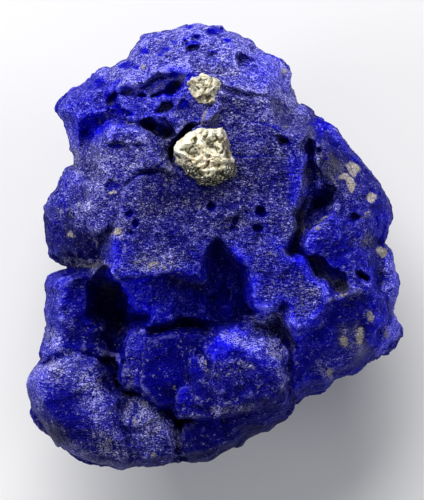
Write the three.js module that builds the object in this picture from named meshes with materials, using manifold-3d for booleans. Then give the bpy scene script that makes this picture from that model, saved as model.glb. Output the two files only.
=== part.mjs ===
// A hand-sized piece of lapis lazuli with two grains of pyrite in its face.
// Millimetres, +Z up. The stone lies on its broken back: X runs across the face, Y along it, and the
// origin is the middle of its box on the resting plane.
import * as THREE from "three";
import { mergeVertices } from "three/addons/utils/BufferGeometryUtils.js";
import Module from "manifold-3d";

// Driving dimensions
const stoneDetail = 19; // subdivisions of the stone's skin
const girthHeight = 10.8; // mean height of the widest girth above the resting plane
const girthSway = 2.2; // how far the girth rises and sinks round the stone
const crownHeight = 20.5; // highest the face could reach
const faceShoulder = 5; // width of the rounded shoulder between girth and face
const backShoulder = 7.5; // the same on the back
const backDepth = 12.6; // how far the back would bulge below the girth if nothing cut it
const flankInset = 1.7; // how far the simple outline of the flanks lies inside the girth
const flankWear = 0.06; // share of the radius by which the flanks are hollowed
const thinnest = 0.4; // least thickness, at the sharp edges
const bedrock = 12.6; // height of the rock between the blocks of the face
const faceShare = 0.22; // how far the skin's points are moved over to the face
const grainGap = 0.3; // clearance between a pyrite grain and its socket
const grainSink = 1.6; // how deep a grain sits in the rock

// Edge of the stone seen from above, clockwise from its upper left corner.
const rim = [
  [-12, 10.4], [-11.7, 11], [-11.2, 11.6], [-10.7, 11.9], [-10.4, 11.7], [-9.6, 12.2],
  [-9.1, 12.7], [-8.8, 13.2], [-8.2, 13.4], [-7.7, 13.3], [-7.2, 13.8], [-6.5, 14.1], [-6.2, 14.7],
  [-5.6, 15.4], [-5.2, 15.8], [-4.4, 15.95], [-3.2, 16.1], [-2.2, 16.55], [-1.3, 16.8],
  [-0.2, 16.7], [0.7, 16.65], [0.95, 16.3], [1.8, 16], [2.8, 15.3], [3.1, 14.9], [3.9, 14.45],
  [4.9, 14.2], [5.4, 13.8], [5.9, 12.95], [5.65, 12.6], [5.85, 11.7], [6.4, 10.6], [7, 10.55],
  [7.6, 10], [8.4, 9.5], [9.2, 8.9], [10, 8], [10.5, 7.2], [11.4, 6], [12.2, 4.9], [13, 3.8],
  [13.4, 3.1], [13.65, 2.1], [13.5, 1.7], [13.2, 1.4], [13, 0.5], [12.75, 0.15], [13.3, -0.4],
  [13.6, -1], [13.75, -2], [14.1, -2.9], [13.9, -3.7], [13.7, -4.6], [13.75, -5.2], [14.2, -6.2],
  [14.15, -7], [13.8, -7.9], [13.2, -8.35], [12.2, -8.45], [11.5, -9], [10.9, -9.7], [10, -9.9],
  [9.2, -10.2], [8.7, -10.8], [8, -11], [7, -11.3], [6.3, -11.9], [6, -12.5], [5.4, -13.1],
  [4.8, -13.4], [4.1, -14], [3.4, -14.1], [2.4, -14.6], [1.9, -15.2], [1, -15.7], [0.2, -16.1],
  [-0.5, -16.5], [-1.3, -16.4], [-2.2, -16.2], [-3.6, -16.3], [-5, -16.5], [-6.1, -16.5],
  [-6.9, -16.8], [-7.8, -16.5], [-9.3, -16.6], [-10.3, -16.2], [-11.2, -15.4], [-12.2, -14.5],
  [-13.1, -13.8], [-13.7, -12.9], [-14, -12.3], [-14.15, -11.3], [-14.35, -10.4], [-14, -9.7],
  [-13.4, -9], [-12.8, -8.8], [-13.1, -8.4], [-13, -7.9], [-12.7, -7], [-12.6, -6], [-12.75, -4.8],
  [-12.6, -3.8], [-12.75, -3], [-12.4, -2.3], [-11.6, -2], [-10.8, -1.85], [-11, -1.5],
  [-11.8, -1.2], [-12.3, -0.7], [-12.7, 0.2], [-12.75, 1.5], [-12.8, 3], [-12.4, 3.8],
  [-11.8, 4.3], [-11.5, 5.2], [-11.2, 5.9], [-10.5, 6.1], [-10.6, 7], [-10.9, 8], [-11.1, 9],
  [-11.6, 9.5], [-11.95, 10.1],
];

// Blocks of the face: a point on the top with its height, the top's slope along X and Y, the radius
// of its edge, how steeply its side falls, how much it bulges, and its outline.
const blocks = {
  plateau: {
    at: [1, 4, 18.9], slope: [-0.07, 0.02], round: 0.3, wall: 3.5,
    edge: [
      [-3.4, 5.2], [-3.3, 8.6], [-1, 9.6], [-0.2, 12], [1.5, 11.4], [4.6, 11.2], [6.2, 10.4],
      [6.9, 8.6], [6.3, 7.4], [6.5, 6.4], [6.45, 4], [6.1, 3.3], [5.7, 2.6], [5.8, 1.6],
      [5.5, 0.5], [5.1, 0], [5.2, -0.6], [5.6, -1.1], [6.6, -1.2], [7.1, -1.8], [7.3, -2.4],
      [8.2, -2.8], [8.6, -3.4], [9, -4.2], [8, -6], [6.2, -6.5], [5.7, -4.7], [5.2, -4.4],
      [4.7, -4.9], [4.1, -5.1], [3.4, -4.6], [2.8, -3.8], [2.6, -3.1], [2.4, -2.2], [2.2, -1.6],
      [1.5, -0.9], [0.9, -0.3], [0.4, 0.2], [-0.3, -0.4], [-1, -1.2], [-1.3, -2.1], [-2.2, -2.3],
      [-3.6, -2.1], [-5, -2.2], [-6.6, -2.4], [-7.6, -2.8], [-8.05, -2.2], [-7.6, -1.1],
      [-7.4, 0.2], [-7.2, 1.2], [-6.7, 3.8], [-5.7, 4.8], [-4.6, 5.2], [-3.7, 5.5],
    ],
  },
  crown: {
    at: [0, 12.6, 18.4], slope: [-0.02, -0.62], round: 0.28, wall: 2.5,
    edge: [
      [-3.6, 13], [-1.2, 12.7], [0.3, 12.5], [1.2, 11.9], [4.8, 11.4], [6.3, 10.2], [5.6, 13.4],
      [3, 15.2], [0.8, 16.8], [-3, 16.4], [-5.6, 15.8], [-6.6, 14.2], [-8, 13.6], [-6.5, 12.6],
    ],
  },
  brow: {
    at: [-4, 11, 17.6], slope: [0.36, -0.4], round: 0.35, wall: 2.2,
    edge: [
      [-12.2, 10.4], [-11, 11.9], [-8.2, 13.6], [-5, 14.8], [-2.6, 13.8], [0.4, 12.8], [0.6, 10.4],
      [-0.4, 9.2], [-1.8, 8.9], [-3, 9], [-4.3, 9.4], [-6, 9.5], [-7, 9.7], [-8.2, 10],
      [-9.7, 9.9], [-10.6, 9], [-11.4, 9.2],
    ],
  },
  cheek: {
    at: [-6.2, 5.5, 19], slope: [0.42, -0.05], round: 0.42, wall: 3,
    edge: [
      [-9.8, 6.2], [-8.6, 7.6], [-8, 8.3], [-7.5, 8.7], [-6, 8.9], [-5.2, 8.5], [-4.8, 7.8],
      [-4.3, 6.9], [-3.8, 6.1], [-3.2, 5.2], [-4.2, 5.6], [-5.4, 5.3], [-6.2, 4.6], [-6.8, 3.6],
      [-7.2, 1.2], [-8.8, 1], [-10.2, 2.3], [-11, 3.4], [-10.4, 4.6],
    ],
  },
  cap: {
    at: [-6.3, 8.2, 18.5], slope: [0.12, -0.35], round: 0.3, wall: 2.6,
    edge: [
      [-8, 8.1], [-7.6, 8.65], [-6.7, 8.95], [-5.7, 8.9], [-5, 8.4], [-4.7, 7.5], [-5.3, 7.75],
      [-6.2, 8], [-7.1, 7.7], [-7.8, 7.8],
    ],
  },
  temple: {
    at: [-11.3, 4, 15.6], slope: [0.5, -0.35], round: 0.42, wall: 2.5,
    edge: [
      [-11.4, 5.9], [-10.2, 6.2], [-9.4, 5], [-9.6, 2.4], [-11.4, 1.6], [-12.9, 2], [-12.9, 3.2],
      [-12.3, 4], [-11.8, 4.5],
    ],
  },
  jowl: {
    at: [-10, 0.8, 16], slope: [0.28, 0.55], round: 0.35, wall: 4,
    edge: [
      [-12.8, 2.2], [-11.6, 1.7], [-11.2, 3.2], [-10.2, 2.2], [-8.8, 1], [-7.2, 0.9], [-7.4, -1.1],
      [-8.3, -1.3], [-11.6, -1.3], [-12.8, -0.4],
    ],
  },
  column: {
    at: [-11.4, -4.6, 14.7], slope: [-0.3, 0.12], round: 0.42, wall: 3,
    edge: [
      [-12.8, -2.4], [-11.6, -2], [-10.6, -1.8], [-9, -2], [-8, -2.8], [-7.4, -5], [-7.2, -8.2],
      [-13.2, -8.6], [-12.8, -6],
    ],
  },
  knuckle: {
    at: [-9.6, -7.3, 14.2], slope: [-0.35, -0.2], round: 0.6, wall: 2.5,
    edge: [
      [-10.6, -6.5], [-9.2, -6.2], [-7.6, -6.6], [-7.4, -8.4], [-10.2, -8.4],
    ],
  },
  heel: {
    at: [-10.4, -11.4, 15.4], slope: [0.04, -0.06], round: 1.12, wall: 2, dome: 0.04,
    edge: [
      [-13.6, -9], [-12, -8.7], [-10.8, -8.3], [-9, -8.4], [-8.2, -9.6], [-7.8, -10.6],
      [-6.9, -11.5], [-6.8, -13.6], [-6.1, -14.8], [-5.6, -16.8], [-9.5, -16.9], [-12.4, -15],
      [-14.4, -12], [-14.5, -10],
    ],
  },
  sill: {
    at: [-8, -9.6, 12.2], slope: [-0.5, 0], round: 0.28, wall: 3,
    edge: [
      [-9.2, -8.5], [-7, -8.4], [-6.6, -9.4], [-6.4, -10.8], [-7.2, -11.6], [-8.6, -10.8],
    ],
  },
  lip: {
    at: [-5.8, -3, 18.2], slope: [0.05, 0.55], round: 0.3, wall: 4,
    edge: [
      [-7.9, -2.3], [-7.2, -3], [-6.8, -3.6], [-6.3, -5.1], [-5.2, -5.15], [-4.5, -4.6],
      [-4.4, -3.8], [-4.8, -2.6], [-5, -1.6], [-7.4, -1],
    ],
  },
  rib: {
    at: [-3.6, -3.6, 17], slope: [-0.75, 0.5], round: 0.3, wall: 3,
    edge: [
      [-4.9, -2], [-4.7, -2.9], [-4.2, -4], [-4.9, -5], [-4.8, -5.9], [-3.4, -5.8], [-1.6, -5.5],
      [-0.5, -5.7], [0, -5.5], [-0.8, -4.4], [-2, -3], [-2.2, -2.3], [-1.3, -1.9], [-2.6, -1],
    ],
  },
  tooth: {
    at: [-5.1, -6, 15], slope: [0, 0.3], round: 0.25, wall: 3,
    edge: [
      [-5.9, -5.7], [-4.9, -5.5], [-4.4, -6.3], [-5, -6.6], [-5.9, -6.1],
    ],
  },
  slab: {
    at: [-5.9, -8.4, 16.3], slope: [0.1, 0.05], round: 0.25, wall: 5,
    edge: [
      [-6.4, -6.3], [-5.7, -5.9], [-5, -6.5], [-4.9, -7.1], [-5.2, -8.4], [-5.3, -9.6],
      [-5.1, -10.8], [-6.1, -10.5], [-6.6, -9.9], [-6.85, -8.5], [-6.8, -7.2],
    ],
  },
  molar: {
    at: [-3.6, -8.8, 16.6], slope: [-0.1, 0.02], round: 0.49, wall: 4, dome: 0.05,
    edge: [
      [-5.3, -7.7], [-4.7, -6.9], [-3, -7], [-1, -6.8], [0.3, -7], [0.3, -9], [-1.2, -11.8],
      [-2.9, -11.8], [-4.3, -12.1], [-4.9, -11.4], [-5.3, -10.2], [-5.6, -9],
    ],
  },
  blade: {
    at: [-1.4, -10.6, 17.2], slope: [0.25, 0.12], round: 0.35, wall: 4,
    edge: [
      [-1.9, -8.6], [-1.3, -8.2], [-0.6, -8.9], [-0.4, -10.6], [-0.2, -12.9], [-0.9, -12.75],
      [-2.6, -12.6], [-2.9, -12], [-2.6, -10.9], [-2, -10.2],
    ],
  },
  fist: {
    at: [2.4, -9.6, 18.6], slope: [-0.1, -0.1], round: 0.91, wall: 3.5, dome: 0.07,
    edge: [
      [-0.6, -8.1], [0, -7.1], [0.8, -6.6], [1.8, -6.1], [2.6, -6.3], [3.3, -6.9], [4.6, -7.1],
      [5.3, -7.8], [5.5, -8.8], [5.9, -10.5], [5.9, -11.4], [5.2, -12.5], [3.6, -12.7], [1, -12.7],
      [-0.1, -12.9], [-0.3, -10.5], [-0.5, -8.9],
    ],
  },
  base: {
    at: [0, -14.2, 14.9], slope: [0, 0.22], round: 0.7, wall: 2.5,
    edge: [
      [-2.2, -13.8], [-1.3, -13.2], [0, -13.1], [2, -12.9], [4, -12.9], [5.6, -12.3], [5.4, -13.2],
      [2.4, -14.8], [0.2, -16.2], [-0.5, -16.6], [-2.3, -16.4], [-2.6, -15],
    ],
  },
  knob: {
    at: [-5, -13.6, 15.2], slope: [-0.1, 0.12], round: 0.7, wall: 2.5, dome: 0.06,
    edge: [
      [-6.2, -11.4], [-5.4, -11.1], [-4.6, -11.8], [-3.8, -12.6], [-3.3, -13.6], [-2.7, -15],
      [-2.4, -16.4], [-5.8, -16.6], [-6.2, -14.8], [-6.9, -13.3], [-6.8, -12.3],
    ],
  },
  cliff: {
    at: [9, 3, 17.4], slope: [-0.42, -0.05], round: 0.42, wall: 4,
    edge: [
      [6.6, 10.8], [7.1, 9.2], [7.5, 8], [7.7, 6.2], [7.8, 5.6], [7.9, 4.4], [8.8, 4.2], [9, 3.1],
      [8.4, 2.3], [7.5, 1.6], [6.9, 1], [6.8, 0], [7.2, -0.8], [8.1, -1.3], [9, -2.2], [9.8, -2.7],
      [10, -3.3], [9.7, -3.9], [12.2, -4.2], [12.4, -0.2], [13.2, 0.4], [13.9, 2], [11.5, 6.6],
      [9, 9.4], [7, 11],
    ],
  },
  nose: {
    at: [7.8, 0.8, 18.2], slope: [-0.22, 0.1], round: 0.49, wall: 4, dome: 0.08,
    edge: [
      [7, 1.1], [7.6, 1.6], [8.5, 2.3], [9.6, 2], [9.8, 0.4], [8.6, -0.8], [7.3, -0.7], [6.85, 0],
    ],
  },
  flank: {
    at: [8, -5.4, 16.7], slope: [-0.32, 0.42], round: 0.56, wall: 3,
    edge: [
      [5.8, -4.6], [7.2, -3.6], [9, -4], [10.2, -3.7], [12.6, -4.2], [13, -7.4], [11.6, -9.2],
      [9.4, -10.4], [7, -11.6], [5.8, -10.5], [5.8, -9], [5.9, -6.5],
    ],
  },
  hip: {
    at: [12.6, -3.4, 13.6], slope: [-0.5, 0.05], round: 0.49, wall: 3,
    edge: [
      [12.3, -0.2], [13.3, 0.3], [14.4, -3], [14.4, -6.8], [13, -8.6], [11.6, -8.2], [11.8, -5.4],
      [12.2, -4], [12.1, -2.2],
    ],
  },
  chin: {
    at: [6.2, -10.2, 15.2], slope: [0, 0.2], round: 0.35, wall: 3, dome: 0.1,
    edge: [
      [5.8, -9.4], [6.6, -9.8], [6.9, -10.6], [6.4, -11.2], [5.9, -11], [5.6, -10.2],
    ],
  },
};

// Hollows between them: a point on the floor, its slope, the width and height of the wall, and the
// outline at the mouth.
const hollows = {
  cave: {
    at: [1.2, -3, 12.6], slope: [-0.8, 0], width: 0.7, rise: 9,
    edge: [
      [0.1, 0.2], [0.5, 0.25], [0.9, -0.4], [1.6, -1], [2.3, -1.6], [2.5, -2.3], [2.65, -3.1],
      [2.9, -3.8], [3.5, -4.6], [4.1, -5.1], [3.4, -5.8], [2.2, -6.1], [0.8, -6.45], [0.1, -6.1],
      [-0.6, -5.5], [-1.6, -4.6], [-2.3, -3.2], [-2, -2.5], [-1.2, -2.2], [-1, -1.2], [-0.3, -0.4],
    ],
  },
  recess: {
    at: [4.3, -6, 15.4], slope: [0.4, -0.2], width: 0.35, rise: 4,
    edge: [
      [2.8, -4.2], [3.4, -4.6], [4.1, -5.1], [4.7, -4.9], [5.1, -4.5], [5.6, -4.8], [5.75, -5.6],
      [5.8, -6.5], [6.2, -7.7], [5.2, -7.5], [4.5, -7.1], [3.4, -6.7], [2.6, -6.1], [2, -5.6],
    ],
  },
  fissure: {
    at: [7.3, 3, 15.4], slope: [0.25, 0.02], width: 0.45, rise: 6,
    edge: [
      [6.7, 8.2], [7.3, 8], [7.65, 6.4], [7.95, 5.4], [7.9, 4.3], [8.8, 4], [9.05, 3.2],
      [8.3, 2.3], [7.4, 1.5], [6.9, 1], [6.75, 0], [7.2, -0.6], [8.2, -0.8], [9.1, -1.3],
      [9.9, -1.9], [10.2, -2.8], [9.9, -3.6], [9, -4.1], [8.6, -3.4], [8.2, -2.8], [7.3, -2.4],
      [7.1, -1.8], [6.6, -1.2], [5.6, -1.1], [5.2, -0.6], [5.1, 0], [5.5, 0.5], [5.8, 1.6],
      [5.7, 2.6], [6.1, 3.3], [6.5, 4], [6.5, 5.8],
    ],
  },
  void: {
    at: [-7.5, -5.5, 8.6], slope: [-1.4, 0], width: 1.6, rise: 5,
    edge: [
      [-10, -2.2], [-8.4, -1.7], [-7.8, -2.6], [-7, -3], [-6.6, -3.7], [-6.25, -5], [-5, -5.3],
      [-5.2, -5.7], [-5.9, -6], [-6.5, -6.5], [-6.85, -7.3], [-6.85, -8.4], [-8.4, -8.3],
      [-8.8, -6.6], [-9.6, -6], [-10.2, -5.2],
    ],
  },
  slot: {
    at: [-6.8, -10.4, 11], slope: [-1, 0.3], width: 0.7, rise: 6,
    edge: [
      [-8.2, -9.4], [-7, -8.2], [-6.7, -9.6], [-6.2, -10.5], [-5.1, -10.9], [-5, -11.4],
      [-5.6, -11.3], [-6.4, -11.6], [-7.2, -11.2], [-8, -10.6],
    ],
  },
  seam: {
    at: [-2.5, -6.2, 13.6], slope: [0, 0], width: 0.3, rise: 6,
    edge: [
      [-5.3, -5.1], [-4.8, -5.4], [-4.5, -6.15], [-3.5, -6.2], [-2.4, -5.95], [-0.4, -5.9],
      [0.3, -6.2], [-0.4, -6.35], [-2.4, -6.5], [-4.2, -6.75], [-4.8, -6.5],
    ],
  },
  gully: {
    at: [-5, 9, 16.1], slope: [0, 0.1], width: 0.5, rise: 5,
    edge: [
      [-10, 9.2], [-9, 9.7], [-7, 9.5], [-5, 9.4], [-4.2, 9.6], [-3, 9.1], [-2.6, 8.2],
      [-3.6, 7.6], [-4.6, 8], [-5.3, 8.6], [-6, 9.05], [-7.6, 8.9], [-8.2, 8.4], [-9.6, 7.2],
      [-10.3, 7.6],
    ],
  },
  trench: {
    at: [-3.2, 7, 16.2], slope: [0, 0.2], width: 0.35, rise: 4,
    edge: [
      [-1.1, 9.15], [-2.2, 8.85], [-3.1, 8.2], [-3.6, 7.3], [-3.65, 6.2], [-3.2, 5.3], [-2.8, 5.3],
      [-2.9, 6.3], [-2.8, 7.2], [-2.4, 7.8], [-1.4, 8.6], [-0.9, 8.8],
    ],
  },
  socket: {
    at: [-4.9, 9.2, 14.8], slope: [0, 0.2], width: 0.35, rise: 4,
    edge: [
      [-5.5, 9.3], [-5.2, 9.75], [-4.6, 9.8], [-4.1, 9.4], [-4.3, 8.8], [-4.8, 8.5], [-5.3, 8.8],
    ],
  },
  pocket: {
    at: [-2.5, -13.3, 11.8], slope: [0, 0], width: 0.6, rise: 5,
    edge: [
      [-3.1, -12.6], [-1.2, -12.8], [-1.4, -13.3], [-2, -13.9], [-2.4, -15], [-3, -14.4],
      [-3.5, -13.3], [-4.2, -12.3],
    ],
  },
  dimple: {
    at: [2.3, 14.1, 16.2], slope: [0, -0.6], width: 0.5, rise: 4,
    edge: [
      [1.1, 14.6], [1.9, 15.1], [3, 14.9], [3.7, 14], [3.7, 13.2], [2.6, 13], [1.5, 13.6],
    ],
  },
  eye: {
    at: [4.9, 7.9, 17.2], slope: [0, -0.3], width: 0.5, rise: 4,
    edge: [
      [4.2, 8.4], [4.9, 8.5], [5.7, 8.2], [5.6, 7.5], [5, 7.1], [4.5, 7.4],
    ],
  },
  niche: {
    at: [8, 8.8, 14.6], slope: [0, -0.4], width: 0.4, rise: 4,
    edge: [
      [7.3, 9.3], [8.6, 9.3], [8.8, 8.9], [8.3, 8.2], [7.7, 8.1],
    ],
  },
  notch: {
    at: [11.2, -2.4, 14], slope: [0, 0], width: 0.4, rise: 4,
    edge: [
      [10.15, -1.9], [10.9, -1.8], [11.6, -2.1], [12.1, -2.6], [11.9, -3], [11.2, -3],
      [10.5, -2.7],
    ],
  },
};

// Pits: centre, half length, half width, turn in degrees, depth.
const pits = [
  [-6.55, 13.45, 0.6, 0.26, 12, 0.5],
  [-7.6, 11.2, 0.42, 0.66, -15, 0.8],
  [-6.5, 11.55, 0.6, 0.36, 0, 0.45],
  [-7.5, 10.25, 0.5, 0.33, 20, 0.6],
  [-6.7, 9.95, 0.79, 0.26, -8, 0.6],
  [-3.65, 10.2, 0.7, 0.44, 25, 1.1],
  [-2.95, 11.7, 0.8, 0.46, 42, 1.4],
  [0.1, 16.1, 0.69, 0.3, 12, 0.5],
  [3.5, 2.45, 0.42, 0.46, 10, 0.7],
  [-7.5, 4.5, 0.6, 0.4, 0, 0.2],
  [7.9, 8.8, 0.8, 0.45, 40, 0.8],
  [11.1, 2.15, 0.5, 0.32, 15, 0.6],
];

// Away from the girth the flanks follow a simpler outline.
const flankRim = [
  [-1.5, 15.4], [3, 13.6], [5.2, 10.6], [8.6, 7.6], [11.8, 3.4], [12.6, -2], [12.5, -6.6], [9, -9],
  [4.6, -12.5], [-0.6, -14.9], [-6.5, -15.4], [-10.6, -14], [-12.8, -10.6], [-11.4, -6.8],
  [-11.3, -3], [-10.9, 0.5], [-11.3, 3.2], [-9.4, 6.4], [-10.3, 9.8], [-7.4, 12.5], [-4.6, 14.6],
];

// The back is broken along a few large planes: a point on each, and its slope along X and Y.
const backPlanes = [
  { at: [13.2, -1.5, 9.4], slope: [2.1, 0.3] },
  { at: [10.6, 5.5, 8.6], slope: [1.2, 0.95] },
  { at: [9.5, -9.2, 8.4], slope: [0.75, -1.35] },
  { at: [1.5, -15, 7.6], slope: [0.3, -1.3] },
  { at: [-11.5, -13.5, 8], slope: [-0.95, -0.75] },
  { at: [-12.2, -1, 9.2], slope: [-1.9, -0.3] },
  { at: [-9.5, 11.5, 9], slope: [-0.95, 0.85] },
  { at: [0.5, 15.6, 9], slope: [0.1, 1.6] },
  { at: [-4.5, 5, 0.2], slope: [-0.13, 0.12] },
  { at: [5.5, -6, 0.3], slope: [0.12, -0.16] },
];

// Pyrite grains: outline, and their top as a point with a slope.
const grains = {
  pyrite_large: {
    at: [-0.7, 6.5, 20.1], slope: [-0.05, 0.06], dome: 0.05, relief: 0.26, detail: 5,
    edge: [
      [-2.95, 7.3], [-2.7, 7.7], [-1.6, 8.5], [-1, 8.7], [0.1, 8.6], [0.7, 8.8], [1.1, 7.9],
      [1.3, 6.8], [1.65, 5.6], [1.1, 4.9], [0.5, 4.5], [-0.2, 4.35], [-1, 4.5], [-1.6, 5.1],
      [-2.3, 5.6], [-2.85, 6.1],
    ],
  },
  pyrite_small: {
    at: [-0.7, 11.5, 19.4], slope: [0.1, -0.3], dome: 0.08, relief: 0.22, detail: 4,
    edge: [
      [-1.9, 11.7], [-2, 12.2], [-1.5, 12.5], [-0.9, 12.75], [-0.2, 12.6], [0.3, 12.4], [0.55, 12],
      [0.4, 11.3], [0.25, 10.9], [0.25, 10.4], [0.4, 10], [0, 9.9], [-0.4, 10.35], [-1.1, 10.6],
      [-1.5, 11.1],
    ],
  },
};

// Signed distance from a point to a closed outline in plan, positive inside.
function edgeDistance(x, y, edge) {
  let nearest = Infinity;
  let inside = false;
  edge.forEach(([ax, ay], i) => {
    const [bx, by] = edge[(i + 1) % edge.length];
    const [dx, dy] = [bx - ax, by - ay];
    const t = THREE.MathUtils.clamp(((x - ax) * dx + (y - ay) * dy) / (dx * dx + dy * dy), 0, 1);
    nearest = Math.min(nearest, Math.hypot(x - ax - t * dx, y - ay - t * dy));
    if (ay > y !== by > y && x < ax + ((y - ay) * dx) / dy) inside = !inside;
  });
  return inside ? nearest : -nearest;
}

// How far a ray from the outline's centre at an angle runs to its edge.
function edgeRadius(angle, edge, cx = 0, cy = 0) {
  const [ux, uy] = [Math.cos(angle), Math.sin(angle)];
  let reach = 0;
  edge.forEach(([ax, ay], i) => {
    const [bx, by] = edge[(i + 1) % edge.length];
    const [px, py, dx, dy] = [ax - cx, ay - cy, bx - ax, by - ay];
    const cross = ux * dy - uy * dx;
    const along = (px * dy - py * dx) / cross;
    const t = (px * uy - py * ux) / cross;
    if (along > 0 && t >= 0 && t <= 1) reach = Math.max(reach, along);
  });
  return reach;
}

function softMax(a, b, k) {
  const h = THREE.MathUtils.clamp(0.5 + (0.5 * (a - b)) / k, 0, 1);
  return b + (a - b) * h + k * h * (1 - h);
}
const softMin = (a, b, k) => -softMax(-a, -b, k);

// Smooth noise on a lattice, from -1 to 1, and a few octaves of it.
function latticeValue(i, j, k) {
  const v = Math.sin(i * 127.1 + j * 311.7 + k * 74.7) * 43758.5453;
  return v - Math.floor(v);
}
function valueNoise(x, y, z) {
  const [i, j, k] = [Math.floor(x), Math.floor(y), Math.floor(z)];
  const [u, v, w] = [x - i, y - j, z - k].map((t) => t * t * (3 - 2 * t));
  let total = 0;
  for (const a of [0, 1])
    for (const b of [0, 1])
      for (const c of [0, 1])
        total += latticeValue(i + a, j + b, k + c) * (a ? u : 1 - u) * (b ? v : 1 - v) * (c ? w : 1 - w);
  return total * 2 - 1;
}
function fractal(x, y, z, size, octaves) {
  let [total, gain, f] = [0, 1, 1 / size];
  for (let o = 0; o < octaves; o++, gain *= 0.5, f *= 2.03)
    total += gain * valueNoise(x * f + 17 * o, y * f - 5 * o, z * f + 9 * o);
  return total;
}

// Height of a block's top at a point, falling away steeply past its rounded edge.
function blockTop(x, y, { at, slope, round, wall, dome = 0, edge }) {
  const [dx, dy] = [x - at[0], y - at[1]];
  const d = edgeDistance(x, y, edge);
  const k = THREE.MathUtils.clamp(round - d, 0, round);
  const drop = round - Math.sqrt(round * round - k * k) + Math.max(-d, 0) * wall;
  return at[2] + slope[0] * dx + slope[1] * dy - dome * (dx * dx + dy * dy) - drop;
}

// Height of a hollow's floor at a point, rising to its walls; beyond its edge it cuts nothing.
function hollowFloor(x, y, { at, slope, width, rise, edge }) {
  const d = edgeDistance(x, y, edge);
  if (d < -0.3) return Infinity;
  const wall = rise * Math.max(0, 1 - d / width) ** 1.5;
  return at[2] + slope[0] * (x - at[0]) + slope[1] * (y - at[1]) + wall;
}

function pitDepth(x, y, [px, py, halfLength, halfWidth, turn, depth]) {
  const [c, s] = [Math.cos((turn * Math.PI) / 180), Math.sin((turn * Math.PI) / 180)];
  const u = ((x - px) * c + (y - py) * s) / halfLength;
  const v = ((y - py) * c - (x - px) * s) / halfWidth;
  return depth * THREE.MathUtils.clamp((1.25 - Math.hypot(u, v)) / 0.6, 0, 1);
}

// Rounded shoulder: 0 at the girth, 1 where the stone has its full thickness.
function shoulder(x, y, width) {
  const inward = softMin(edgeDistance(x, y, rim), edgeDistance(x, y, flankRim) + flankInset, 0.5);
  const w = THREE.MathUtils.clamp((inward * (1 + 0.25 * fractal(x, y, 6.6, 5, 2))) / width, 0, 1);
  return Math.sqrt(1 - (1 - w) ** 2);
}
const girth = (x, y) => girthHeight + girthSway * fractal(x, y, 9.9, 9, 2);

function faceHeight(x, y) {
  const wx = x + 0.36 * fractal(x, y, 3.3, 2.6, 4); // wander of the cracks and edges
  const wy = y + 0.36 * fractal(x, y, 8.1, 2.6, 4);
  let z = bedrock;
  for (const block of Object.values(blocks)) z = softMax(z, blockTop(wx, wy, block), 0.35);
  for (const hollow of Object.values(hollows)) {
    const floor = hollowFloor(wx, wy, hollow);
    if (floor < Infinity) z = softMin(z, floor, 0.2);
  }
  z += 0.3 * fractal(x, y, 1.7, 3.4, 2) + 0.14 * fractal(x, y, 5.2, 1.1, 2);
  const g = girth(x, y);
  z = softMin(z, g + (crownHeight - g) * shoulder(x, y, faceShoulder), 0.8);
  for (const pit of pits) z -= pitDepth(0.65 * x + 0.35 * wx, 0.65 * y + 0.35 * wy, pit);
  return Math.max(z, backHeight(x, y) + thinnest);
}

function backHeight(x, y) {
  const g = girth(x, y);
  let z = g - backDepth * shoulder(x, y, backShoulder);
  for (const { at, slope } of backPlanes)
    z = softMax(z, at[2] + slope[0] * (x - at[0]) + slope[1] * (y - at[1]), 0.8);
  return Math.min(z + 0.5 * fractal(x, y, 12.4, 4.2, 3), g - thinnest / 2);
}

// A skin of even triangles over an outline in plan: the sphere's upper part, below a share moved
// over to the top, follows one height and its lower part the other.
function skin(detail, edge, [cx, cy], share, top, bottom, wear) {
  const g = new THREE.IcosahedronGeometry(1, detail);
  g.rotateX(0.37).rotateY(0.21);
  const p = g.attributes.position;
  for (let i = 0; i < p.count; i++) {
    const [ux, uy, uz] = [p.getX(i), p.getY(i), p.getZ(i)];
    const angle = Math.atan2(uy, ux);
    const level = uz > -share ? (uz + share) / (1 + share) : (uz + share) / (1 - share);
    const reach = edgeRadius(angle, edge, cx, cy) * Math.sqrt(1 - Math.abs(level));
    const [x, y] = [cx + reach * Math.cos(angle), cy + reach * Math.sin(angle)];
    const z = level > 0 ? top(x, y) : bottom(x, y);
    const k = wear ? 1 - wear(x, y, z) * (1 - THREE.MathUtils.smoothstep(Math.abs(level), 0.2, 0.5)) : 1;
    p.setXYZ(i, cx + (x - cx) * k, cy + (y - cy) * k, z);
  }
  return g;
}

// How much the flanks are hollowed above and below the girth, as a share of the radius.
function hollowedFlank(x, y, z) {
  const away = THREE.MathUtils.smoothstep(Math.abs(z - girth(x, y)), 1.5, 6);
  return flankWear * away * Math.max(0, 0.9 + fractal(x, y, z, 5.5, 3));
}

const wasm = await Module();
wasm.setup();

function solidFrom(geometry) {
  const g = geometry.clone();
  g.deleteAttribute("normal");
  g.deleteAttribute("uv");
  const merged = mergeVertices(g, 1e-4);
  return new wasm.Manifold(
    new wasm.Mesh({
      numProp: 3,
      vertProperties: new Float32Array(merged.attributes.position.array),
      triVerts: new Uint32Array(merged.index.array),
    }),
  );
}

function geometryFrom(solid) {
  const mesh = solid.getMesh();
  const g = new THREE.BufferGeometry();
  g.setAttribute("position", new THREE.BufferAttribute(mesh.vertProperties, mesh.numProp));
  g.setIndex(new THREE.BufferAttribute(mesh.triVerts, 1));
  const flat = g.toNonIndexed();
  flat.computeVertexNormals();
  return flat;
}

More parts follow.
